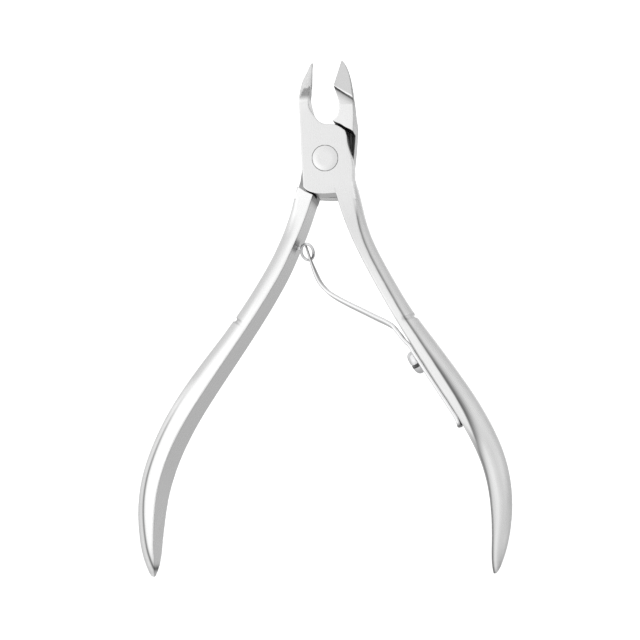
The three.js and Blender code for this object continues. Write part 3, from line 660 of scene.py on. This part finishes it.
def block(name, centre, x_axis, y_axis, size, bevel=0.0):
    """A box with its own axes, used for cutters."""
    x = Vector(x_axis).normalized()
    y = Vector(y_axis).normalized()
    z = x.cross(y)
    c = Vector(centre)
    verts = [tuple(c + x * (sx * size[0] / 2) + y * (sy * size[1] / 2) + z * (sz * size[2] / 2))
             for sx in (-1, 1) for sy in (-1, 1) for sz in (-1, 1)]
    faces = [(0, 1, 3, 2), (4, 6, 7, 5), (0, 4, 5, 1), (2, 3, 7, 6), (0, 2, 6, 4), (1, 5, 7, 3)]
    obj = new_mesh(name, verts, faces)
    fix_normals(obj)
    return obj


# ---------------------------------------------------------------- levers
left_spine = Spine(LEFT_HANDLE, -1, CROWN_AT, NOTCH_LEFT)
right_spine = Spine(RIGHT_HANDLE, 1, CROWN_RIGHT, NOTCH_RIGHT)
mirror_recess = [(-x, z) for x, z in REAR_RECESS][::-1]
rear = Lever(left_spine, REAR_OUTLINE, REAR_RECESS, REAR_BLADE, +1)
front = Lever(right_spine, FRONT_OUTLINE, mirror_recess, FRONT_BLADE, -1)

st = Vector((1.90, 0, -3.00)).normalized()
screw_in = Vector((st.z, 0, -st.x))          # out of the handle's inner face
screw_at = Vector((SCREW_POINT[0], MID, SCREW_POINT[1]))
front_obj = build_lever("lever_front", front)
rear_obj = build_lever("lever_rear", rear)


def seat_cutter(sign, name):
    """Stepped hole of one rivet head: seat at the face on side sign (+1: front)."""
    front_y = MID - sign * HALF
    axis = (0, sign, 0)
    prof = [(0, -1), (HEAD_SEAT_R + 0.01, -1), (HEAD_SEAT_R + 0.01, -0.001), (HEAD_SEAT_R - 0.035, 0.05), (HEAD_SEAT_R - 0.035, HEAD_T + 0.04),
            (SHANK_HOLE_R, HEAD_T + 0.04), (SHANK_HOLE_R, HALF + 1), (0, HALF + 1)]
    return revolve(name, prof, (PIVOT[0], front_y, PIVOT[2]), axis, 128)


for obj, sign in ((front_obj, 1), (rear_obj, -1)):
    apply_boolean(obj, seat_cutter(sign, "cutter_seat"))
tang_out = Vector((0.856, 0, 0.517)).normalized()
apply_boolean(front_obj, block("cutter_tang", Vector((TAIL[0] - 0.10, MID, TAIL[1] + 0.22)) + tang_out * ((TANG_DEPTH + 0.12 - 1.5) / 2),
                               tang_out, (0, 1, 0), (TANG_DEPTH + 0.12 + 1.5, 3.4, 0.8)))
apply_boolean(front_obj, revolve("cutter_screw", [(0, -SCREW_DEPTH - 0.15), (SCREW_SHANK_R + 0.06, -SCREW_DEPTH - 0.15),
                                                   (SCREW_SHANK_R + 0.06, 2), (0, 2)], screw_at, screw_in, 48))
kn = Vector((KEEPER_N[0], 0, KEEPER_N[1])).normalized()
k_base = Vector((KEEPER_BASE[0], MID, KEEPER_BASE[1]))
apply_boolean(rear_obj, revolve("cutter_stem", [(0, -KEEPER_STEM_DEPTH - 0.1), (KEEPER_STEM_R + 0.05, -KEEPER_STEM_DEPTH - 0.1),
                                                (KEEPER_STEM_R + 0.05, -0.12), (KEEPER_STEM_R + 0.22, 0.05), (KEEPER_STEM_R + 0.22, 1), (0, 1)],
                                k_base, kn, 48))
for obj in (front_obj, rear_obj):
    obj.data.polygons.foreach_set("use_smooth", np.ones(len(obj.data.polygons), bool))
    obj.data.set_sharp_from_angle(angle=math.radians(38))
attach(front_obj, "front_lever"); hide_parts("front_lever")
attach(rear_obj, "rear_lever"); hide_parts("rear_lever")

# ---------------------------------------------------------------- rivet
r = HEAD_R
rivet_profile = [(0, -HALF + 0.0), (r * 0.5, -HALF), (r - 0.06, -HALF + 0.003), (r - 0.02, -HALF + 0.02), (r, -HALF + 0.06), (r, -HALF + HEAD_T),
                 (SHANK_R, -HALF + HEAD_T), (SHANK_R, HALF - HEAD_T), (r, HALF - HEAD_T), (r, HALF - 0.06), (r - 0.02, HALF - 0.02),
                 (r - 0.06, HALF - 0.003), (r * 0.5, HALF), (0, HALF)]
rivet = revolve("rivet", rivet_profile, tuple(PIVOT), (0, 1, 0), 128, 30)
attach(rivet, "rear_lever"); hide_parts("pivot_rivet")


# ---------------------------------------------------------------- leaf spring
def strap_mesh(name, line, thick):
    """A strap with rounded edges along x, z, width rows."""
    p = np.array(line, float)
    t = np.concatenate([[0], np.cumsum(np.hypot(*np.diff(p[:, :2], axis=0).T))])
    q = np.arange(0, t[-1], 0.22)
    q = np.append(q, t[-1])
    x, z = natural_spline(t, p[:, 0], q), natural_spline(t, p[:, 1], q)
    width = np.interp(q, t, p[:, 2])
    width[2:-2] = smooth_ends(width, 2.0)[2:-2]
    # rounded tip
    near = np.clip(q / (width[0] * 0.55), 0, 1)
    width = width * np.sqrt(np.maximum(1 - (1 - near) ** 2, 0.02))
    tail = np.clip((t[-1] - q) / 0.8, 0, 1)
    width = width - 0.9 * (1 - np.sqrt(np.maximum(1 - (1 - tail) ** 2, 0)))
    tx, tz = np.gradient(x, q), np.gradient(z, q)
    ln = np.hypot(tx, tz)
    nx, nz = -tz / ln, tx / ln
    ring = []
    e = thick / 2
    for k in range(9):                       # half-round edges, front then back
        a = math.pi / 2 - math.pi * k / 8
        ring.append((math.sin(a) * e, 1, math.cos(a) * e * 0.55))
    for k in range(9):
        a = -math.pi / 2 + math.pi * k / 8
        ring.append((math.sin(a) * e, -1, -math.cos(a) * e * 0.55))
    verts, faces, n = [], [], len(ring)
    thin = np.interp(q, [0, 1.2, 2.6, 3.9, 5.2, 6.8], [0.50, 0.50, 0.55, 0.675, 0.85, 1.0])
    for i in range(len(q)):
        half = width[i] / 2
        inset = min(e * 0.55, half * 0.8)
        for off, sign, bulge in ring:
            hh = sign * (half - inset) + bulge / (e * 0.55) * inset
            verts.append((x[i] + nx[i] * off * thin[i], MID - hh, z[i] + nz[i] * off * thin[i]))
    for i in range(len(q) - 1):
        for k in range(n):
            m = (k + 1) % n
            faces.append((i * n + k, i * n + m, (i + 1) * n + m, (i + 1) * n + k))
    faces.append(tuple(range(n)))
    faces.append(tuple((len(q) - 1) * n + k for k in reversed(range(n))))
    obj = new_mesh(name, verts, faces, 50)
    fix_normals(obj)
    attribute(obj, "along", np.repeat(q, n))
    attribute(obj, "across", np.tile([o[0] for o in ring], len(q)))
    attribute(obj, "depth", np.array([MID - v[1] for v in verts]))
    # painted shade on the strap: along one side, more lightly along the other, at the tip and at the tail end
    qq, oo = np.repeat(q, n), np.tile([o[0] for o in ring], len(q)) / e
    upper = np.interp(qq, [0, 6, 9, 12, 24, 28, 31, 42, 52], [0.75, 0.62, 0.38, 0.15, 0.12, 0.45, 0.85, 0.70, 0.85])
    lower = np.interp(qq, [0, 12, 25, 29, 52], [0.20, 0.12, 0.10, 0.05, 0.05])
    edge = np.interp(qq, [0, 9, 14, 26, 52], [0.0, 0.0, 0.45, 0.6, 0.65])
    dark = np.maximum(upper * np.clip((oo - edge) / 0.3, 0, 1), lower * np.clip((-oo - 0.5) / 0.3, 0, 1))
    dark = np.maximum(dark, 0.75 * np.clip(1.3 - qq / 0.7, 0, 1))
    attribute(obj, "cavity_shade", np.maximum(dark, 0.6 * np.clip(1.3 - (t[-1] - qq) / 0.6, 0, 1)))
    return obj


off = STRAP_GAP + STRAP_T / 2
sel = (right_spine.z < -37.2) & (right_spine.z > -52.3)
root = [(x - nx * off, z - nz * off, 5.0) for (x, z), (nx, nz) in zip(right_spine.q[sel][::8], right_spine.n[sel][::8])]
strap_line = BLADE_LINE + [(FLEX[0], FLEX[1], 4.95)] + [(x, z, 5.0) for x, z in ROOT_LINE] + root + [(TAIL[0] - 0.856 * off, TAIL[1] - 0.517 * off, 4.9)]
strap = strap_mesh("leaf_spring", strap_line, STRAP_T)
apply_boolean(strap, revolve("cutter_strap", [(0, -1), (SCREW_SHANK_R + 0.12, -1), (SCREW_SHANK_R + 0.12, 3), (0, 3)], screw_at, screw_in, 48))
strap.data.polygons.foreach_set("use_smooth", np.ones(len(strap.data.polygons), bool))
strap.data.set_sharp_from_angle(angle=math.radians(50))
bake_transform(strap)
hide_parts("spring_blade", "spring_root")

# tang: the tail turned down into the handle
tang_c = Vector((TAIL[0] - 0.10, MID, TAIL[1] + 0.22))
along_t = Vector((-tang_out.z, 0, tang_out.x))
tang_rows = []
for k in range(9):
    a = math.pi / 2 * k / 8
    tang_rows.append((a, 0.30))
verts, faces = [], []
ys = np.linspace(-1.5, 1.5, 15)
sec = [(-0.36, -0.21), (-0.30, -0.24), (0, -0.25), (TANG_DEPTH - 0.1, -0.21), (TANG_DEPTH, -0.12), (TANG_DEPTH, 0.12),
       (TANG_DEPTH - 0.1, 0.21), (0, 0.21), (-0.30, 0.21), (-0.36, 0.16)]
for y in ys:
    e = 1 - 0.12 * (abs(y) / 1.5) ** 6
    for o, a in sec:
        q = tang_c + tang_out * o * e + along_t * a * e
        verts.append((q.x, MID + y, q.z))
n = len(sec)
for i in range(len(ys) - 1):
    for k in range(n):
        m = (k + 1) % n
        faces.append((i * n + k, i * n + m, (i + 1) * n + m, (i + 1) * n + k))
faces.append(tuple(range(n)))
faces.append(tuple((len(ys) - 1) * n + k for k in reversed(range(n))))
tang = new_mesh("leaf_spring_tang", verts, faces, 40)
fix_normals(tang)
attribute(tang, "along", np.zeros(len(verts)))
# painted shade: the tang almost black, like the slot it enters
attribute(tang, "cavity_shade", np.full(len(verts), 0.96))
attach(tang, "front_lever")

# ---------------------------------------------------------------- screw
base = STRAP_GAP + STRAP_T + 0.03
R, T = SCREW_HEAD_R, SCREW_HEAD_T
dome = [(R - 0.05, base), (R, base + 0.06), (R, base + T * 0.30), (R * 0.985, base + T * 0.42), (R * 0.94, base + T * 0.58),
        (R * 0.86, base + T * 0.74), (R * 0.74, base + T * 0.87), (R * 0.56, base + T * 0.955), (R * 0.30, base + T * 0.995), (0, base + T)]
pitch, thread = 0.4, []
for k in range(7):
    t0 = -SCREW_DEPTH + 0.25 + k * pitch
    thread += [(SCREW_SHANK_R - 0.16, t0), (SCREW_SHANK_R, t0 + pitch * 0.45), (SCREW_SHANK_R, t0 + pitch * 0.55)]
screw = revolve("spring_screw_head", [(0, -SCREW_DEPTH), (SCREW_SHANK_R - 0.2, -SCREW_DEPTH)] + thread + [(SCREW_SHANK_R, base)] + dome,
                screw_at, screw_in, 96, 35)
down = Vector((-screw_in.z, 0, screw_in.x))
if down.z > 0:
    down = -down
turn = math.radians(SCREW_SLOT_TURN)
slot_along = Vector((0, 1, 0)) * math.cos(turn) - down * math.sin(turn)
apply_boolean(screw, block("cutter_slot", screw_at + screw_in * (base + T), screw_in, slot_along, (SCREW_SLOT_D * 2, 8, SCREW_SLOT_W)))
screw.data.polygons.foreach_set("use_smooth", np.ones(len(screw.data.polygons), bool))
screw.data.set_sharp_from_angle(angle=math.radians(32))
# painted shade on the slot's walls and floor
side_dir = np.array(screw_in.cross(slot_along))
shade_paint = []
for poly in screw.data.polygons:
    c = np.array(poly.center) / MM - np.array(screw_at)
    shade_paint.append(0.88 if abs(float(c @ side_dir)) < SCREW_SLOT_W / 2 + 0.01 and float(c @ np.array(screw_in)) > base
                and (abs(float(np.array(poly.normal) @ side_dir)) > 0.9 or float(c @ np.array(screw_in)) < base + T - SCREW_SLOT_D + 0.02) else 0.0)
at = screw.data.attributes.new("cavity_shade", "FLOAT", "FACE")
at.data.foreach_set("value", np.array(shade_paint, np.float32))
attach(screw, "front_lever"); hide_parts("spring_screw")

# ---------------------------------------------------------------- keeper loop
k_up = Vector((-kn.z, 0, kn.x))
if k_up.z < 0:
    k_up = -k_up
tilt = math.radians(KEEPER_TILT)
lean = k_up * math.cos(tilt) + Vector((0, -math.sin(tilt), 0))
k_normal = kn.cross(lean).normalized()
k_centre = k_base + kn * KEEPER_REACH
verts, faces = [], []
NA, NB = 96, 20
for i in range(NA):
    a = 2 * math.pi * i / NA
    radial = (kn * (math.cos(a) * KEEPER_MAJOR) + lean * (math.sin(a) * KEEPER_MINOR)).normalized()
    c = k_centre + kn * (KEEPER_MINOR * math.cos(a)) + lean * (KEEPER_MAJOR * math.sin(a))
    for j in range(NB):
        b = 2 * math.pi * j / NB
        verts.append(tuple(c + radial * (KEEPER_WIRE_R * math.cos(b)) + k_normal * (KEEPER_WIRE_R * math.sin(b))))
for i in range(NA):
    for j in range(NB):
        i2, j2 = (i + 1) % NA, (j + 1) % NB
        faces.append((i * NB + j, i2 * NB + j, i2 * NB + j2, i * NB + j2))
loop = new_mesh("keeper_loop", verts, faces, 60)
fix_normals(loop)
reach = KEEPER_REACH - KEEPER_MINOR
stem = revolve("keeper_stem", [(0, -KEEPER_STEM_DEPTH), (KEEPER_STEM_R - 0.06, -KEEPER_STEM_DEPTH), (KEEPER_STEM_R, -KEEPER_STEM_DEPTH + 0.08),
                               (KEEPER_STEM_R, 0.0), (KEEPER_STEM_R * 0.98, reach * 0.35), (KEEPER_STEM_R * 0.86, reach * 0.7),
                               (KEEPER_STEM_R * 0.62, reach), (KEEPER_STEM_R * 0.3, reach + 0.12), (0, reach + 0.16)], k_base, kn, 40, 45)
for piece in (loop, stem):
    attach(piece, "rear_lever")
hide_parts("spring_keeper")


# ---------------------------------------------------------------- materials
def node(nt, kind, x=0, y=0, **inputs):
    n = nt.nodes.new(kind)
    n.location = (x, y)
    for k, v in inputs.items():
        n.inputs[k.replace("_", " ")].default_value = v
    return n


def math_node(nt, op, a, b=None, clamp=False):
    n = nt.nodes.new("ShaderNodeMath")
    n.operation = op
    n.use_clamp = clamp
    for i, v in enumerate((a, b)):
        if v is None:
            continue
        if isinstance(v, (int, float)):
            n.inputs[i].default_value = v
        else:
            nt.links.new(v, n.inputs[i])
    return n.outputs[0]


def steel(name, color, rough, grain=1.0, use_attributes=True, scratch=0.03, painted_tone=False, blade_shade_and_highlight=0.0, cavity_shade=0.0):
    """Ground steel: fine streaks along the piece, blotchy roughness, small pits, and painted shade and highlights from
    vertex attributes.
    """
    mat = bpy.data.materials.new(name)
    mat.use_nodes = True
    nt = mat.node_tree
    nt.nodes.clear()
    out = node(nt, "ShaderNodeOutputMaterial")
    bsdf = node(nt, "ShaderNodeBsdfPrincipled")
    nt.links.new(bsdf.outputs[0], out.inputs[0])
    bsdf.inputs["Metallic"].default_value = 1.0
    coord = node(nt, "ShaderNodeTexCoord")
    obj_mm = nt.nodes.new("ShaderNodeVectorMath")
    obj_mm.operation = "SCALE"
    obj_mm.inputs["Scale"].default_value = 1000.0
    nt.links.new(coord.outputs["Object"], obj_mm.inputs[0])
    if use_attributes:
        parts = []
        for key in ("along", "across", "depth"):
            at = nt.nodes.new("ShaderNodeAttribute")
            at.attribute_name = key
            parts.append(at.outputs["Fac"])
        comb = nt.nodes.new("ShaderNodeCombineXYZ")
        for i, p in enumerate(parts):
            nt.links.new(p, comb.inputs[i])
        vec = comb.outputs[0]
        stretch = (0.16, 9.0, 9.0)
    else:
        vec = obj_mm.outputs[0]
        stretch = (6.0, 6.0, 6.0)
    mapped = nt.nodes.new("ShaderNodeVectorMath")
    mapped.operation = "MULTIPLY"
    nt.links.new(vec, mapped.inputs[0])
    mapped.inputs[1].default_value = stretch
    streak = node(nt, "ShaderNodeTexNoise", Scale=1.0, Detail=5.0, Roughness=0.6)
    nt.links.new(mapped.outputs[0], streak.inputs["Vector"])
    fine = nt.nodes.new("ShaderNodeVectorMath")
    fine.operation = "MULTIPLY"
    nt.links.new(vec, fine.inputs[0])
    fine.inputs[1].default_value = tuple(3.1 * v for v in stretch)
    hair = node(nt, "ShaderNodeTexNoise", Scale=1.0, Detail=3.0, Roughness=0.7)
    nt.links.new(fine.outputs[0], hair.inputs["Vector"])
    blot = node(nt, "ShaderNodeTexNoise", Scale=0.35, Detail=3.0, Roughness=0.55)
    nt.links.new(obj_mm.outputs[0], blot.inputs["Vector"])
    pits = node(nt, "ShaderNodeTexNoise", Scale=3.2, Detail=2.0, Roughness=0.5)
    nt.links.new(obj_mm.outputs[0], pits.inputs["Vector"])
    # tone
    s1 = math_node(nt, "SUBTRACT", streak.outputs["Fac"], 0.5)
    s2 = math_node(nt, "SUBTRACT", hair.outputs["Fac"], 0.5)
    s3 = math_node(nt, "SUBTRACT", blot.outputs["Fac"], 0.5)
    tone = math_node(nt, "ADD", math_node(nt, "MULTIPLY", s1, 0.10 * grain), math_node(nt, "MULTIPLY", s2, 0.06 * grain))
    tone = math_node(nt, "ADD", tone, math_node(nt, "MULTIPLY", s3, 0.06))
    tone = math_node(nt, "ADD", tone, 1.0)
    if painted_tone:
        # the tone attribute: painted shade, painted highlights and painted reflections
        at = nt.nodes.new("ShaderNodeAttribute")
        at.attribute_name = "tone"
        tone = math_node(nt, "MULTIPLY", tone, at.outputs["Fac"])
    if cavity_shade:
        # painted shade in recesses, crevices, slots and under the blade line, broken up by the streaks
        at = nt.nodes.new("ShaderNodeAttribute")
        at.attribute_name = "cavity_shade"
        shade_amount = math_node(nt, "MULTIPLY", at.outputs["Fac"], math_node(nt, "ADD", math_node(nt, "MULTIPLY", s1, 0.5), cavity_shade))
        tone = math_node(nt, "MULTIPLY", tone, math_node(nt, "SUBTRACT", 1.0, shade_amount, True))
    if blade_shade_and_highlight:
        # painted shade on the blade facet and painted highlight along its end line
        at = nt.nodes.new("ShaderNodeAttribute")
        at.attribute_name = "blade"
        tone = math_node(nt, "MULTIPLY", tone, math_node(nt, "SUBTRACT", 1.0, math_node(nt, "MULTIPLY", at.outputs["Fac"], blade_shade_and_highlight)))
    scale = nt.nodes.new("ShaderNodeVectorMath")
    scale.operation = "SCALE"
    scale.inputs[0].default_value = color
    nt.links.new(tone, scale.inputs["Scale"])
    nt.links.new(scale.outputs[0], bsdf.inputs["Base Color"])
    # roughness
    ro = math_node(nt, "ADD", math_node(nt, "MULTIPLY", s1, 0.18 * grain), math_node(nt, "MULTIPLY", s3, 0.16))
    ro = math_node(nt, "ADD", ro, rough)
    nt.links.new(ro, bsdf.inputs["Roughness"])
    # bump
    height = math_node(nt, "ADD", math_node(nt, "MULTIPLY", hair.outputs["Fac"], 0.6), math_node(nt, "MULTIPLY", streak.outputs["Fac"], 0.7))
    height = math_node(nt, "ADD", height, math_node(nt, "MULTIPLY", pits.outputs["Fac"], 0.25))
    bump = node(nt, "ShaderNodeBump")
    bump.inputs["Strength"].default_value = 0.25 * grain
    bump.inputs["Distance"].default_value = scratch * MM
    nt.links.new(height, bump.inputs["Height"])
    nt.links.new(bump.outputs[0], bsdf.inputs["Normal"])
    return mat


m_front = steel("steel_front_lever", (0.90, 0.90, 0.90), 0.28, painted_tone=True, cavity_shade=1.0, blade_shade_and_highlight=-0.06)
m_rear = steel("steel_rear_lever", (0.90, 0.90, 0.90), 0.28, painted_tone=True, cavity_shade=1.0, blade_shade_and_highlight=0.32)
m_rivet = steel("steel_rivet", (0.845, 0.845, 0.845), 0.28, use_attributes=False)
m_spring = steel("steel_spring", (0.90, 0.90, 0.905), 0.20, grain=0.6, cavity_shade=1.0)
m_screw = steel("steel_screw", (0.84, 0.84, 0.85), 0.24, use_attributes=False, cavity_shade=1.0)
m_keeper = steel("steel_keeper", (0.84, 0.84, 0.85), 0.24, use_attributes=False, grain=0.7)
for obj, mat in ((front_obj, m_front), (rear_obj, m_rear), (rivet, m_rivet), (strap, m_spring), (tang, m_spring),
                 (screw, m_screw), (loop, m_keeper), (stem, m_keeper)):
    obj.data.materials.clear()
    obj.data.materials.append(mat)

# ---------------------------------------------------------------- floor, light, camera
lo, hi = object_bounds()
# the right handle swings 5.6 mm lower as the jaws close
floor_z = lo.z - 0.0062


def sheet(name, corners, tone):
    mesh = bpy.data.meshes.new(name)
    mesh.from_pydata(corners, [], [(0, 1, 2, 3)])
    obj = bpy.data.objects.new(name, mesh)
    scene.collection.objects.link(obj)
    mat = bpy.data.materials.new(name)
    mat.use_nodes = True
    b = mat.node_tree.nodes["Principled BSDF"] if "Principled BSDF" in mat.node_tree.nodes else None
    if b:
        b.inputs["Base Color"].default_value = (tone, tone, tone, 1)
        b.inputs["Roughness"].default_value = 0.9
        b.inputs["Specular IOR Level"].default_value = 0.1
    mesh.materials.append(mat)
    obj.visible_glossy = False
    return obj


floor = sheet("floor", [(-6, -6, floor_z), (6, -6, floor_z), (6, 6, floor_z), (-6, 6, floor_z)], 0.92)

world = bpy.data.worlds.new("studio")
scene.world = world
world.use_nodes = True
wt = world.node_tree
wt.nodes.clear()
w_out = node(wt, "ShaderNodeOutputWorld")
w_bg = node(wt, "ShaderNodeBackground", Color=(1, 1, 1, 1))
wt.links.new(w_bg.outputs[0], w_out.inputs[0])
tc = node(wt, "ShaderNodeTexCoord")
sep = wt.nodes.new("ShaderNodeSeparateXYZ")
wt.links.new(tc.outputs["Generated"], sep.inputs[0])


def ramp(value, stops):
    n = wt.nodes.new("ShaderNodeValToRGB")
    n.color_ramp.interpolation = "EASE"
    while len(n.color_ramp.elements) < len(stops):
        n.color_ramp.elements.new(0.5)
    for e, (p, v) in zip(n.color_ramp.elements, stops):
        e.position = p
        e.color = (v, v, v, 1)
    unit = math_node(wt, "ADD", math_node(wt, "MULTIPLY", value, 0.5), 0.5)
    wt.links.new(unit, n.inputs[0])
    sep_c = wt.nodes.new("ShaderNodeSeparateColor")
    wt.links.new(n.outputs[0], sep_c.inputs[0])
    return sep_c.outputs[0]


# front to back (y), left to right (x), bottom to top (z); the ramps hold half the level
ry = ramp(sep.outputs[1], [(0.0, 0.44), (0.25, 0.46), (0.41, 0.435), (0.5, 0.38), (0.65, 0.32), (0.8, 0.27), (1.0, 0.245)])
rx = ramp(sep.outputs[0], [(0.0, 0.58), (0.25, 0.57), (0.4, 0.51), (0.5, 0.49), (0.75, 0.465), (1.0, 0.45)])
rz = ramp(sep.outputs[2], [(0.0, 0.42), (0.5, 0.50), (1.0, 0.50)])
level = math_node(wt, "MULTIPLY", math_node(wt, "MULTIPLY", ry, rx), rz)
level = math_node(wt, "MULTIPLY", level, 8.0)


def lamp(centre, size, power):
    """A soft round source in the studio, seen in reflections."""
    d = wt.nodes.new("ShaderNodeVectorMath")
    d.operation = "DISTANCE"
    wt.links.new(tc.outputs["Generated"], d.inputs[0])
    d.inputs[1].default_value = Vector(centre).normalized()
    q = math_node(wt, "MULTIPLY", math_node(wt, "POWER", math_node(wt, "DIVIDE", d.outputs["Value"], size), 2.0), -1.0)
    return math_node(wt, "MULTIPLY", math_node(wt, "EXPONENT", q), power)


for centre, size, power in (((-0.42, -0.9, 0.04), 0.27, 0.36), ((-0.72, 0.28, 0.52), 0.45, 0.30), ((0.97, -0.03, 0.25), 0.22, 0.24), ((0.22, 0.93, 0.30), 0.20, 0.45)):
    level = math_node(wt, "ADD", level, lamp(centre, size, power))
path = wt.nodes.new("ShaderNodeLightPath")
glossy = level
plain = 1.25
mix = wt.nodes.new("ShaderNodeMix")
mix.data_type = "FLOAT"
wt.links.new(path.outputs["Is Glossy Ray"], mix.inputs[0])
mix.inputs[2].default_value = plain
wt.links.new(glossy, mix.inputs[3])
wt.links.new(mix.outputs[0], w_bg.inputs["Strength"])

cam_data = bpy.data.cameras.new("camera")
cam = bpy.data.objects.new("camera", cam_data)
scene.collection.objects.link(cam)
CAM = (0.04735, -0.2377, -0.0689)
cam.location = CAM
cam.rotation_euler = (math.radians(90), 0, 0)
cam_data.sensor_width = 36
cam_data.lens = 64.69
cam_data.clip_start, cam_data.clip_end = 0.01, 20


def shift(prop, value):
    """The lens shift holds only while the camera stands at its own place."""
    drv = cam_data.driver_add(prop).driver
    drv.type = "SCRIPTED"
    var = drv.variables.new()
    var.name = "cx"
    var.type = "TRANSFORMS"
    var.targets[0].id = cam
    var.targets[0].transform_type = "LOC_X"
    var.targets[0].transform_space = "WORLD_SPACE"
    drv.expression = f"{value} if abs(cx - {CAM[0]}) < 0.0005 else 0"


shift("shift_x", -0.375)
shift("shift_y", 0.28125)
scene.camera = cam
scene.view_settings.view_transform = "Standard"
scene.view_settings.look = "None"
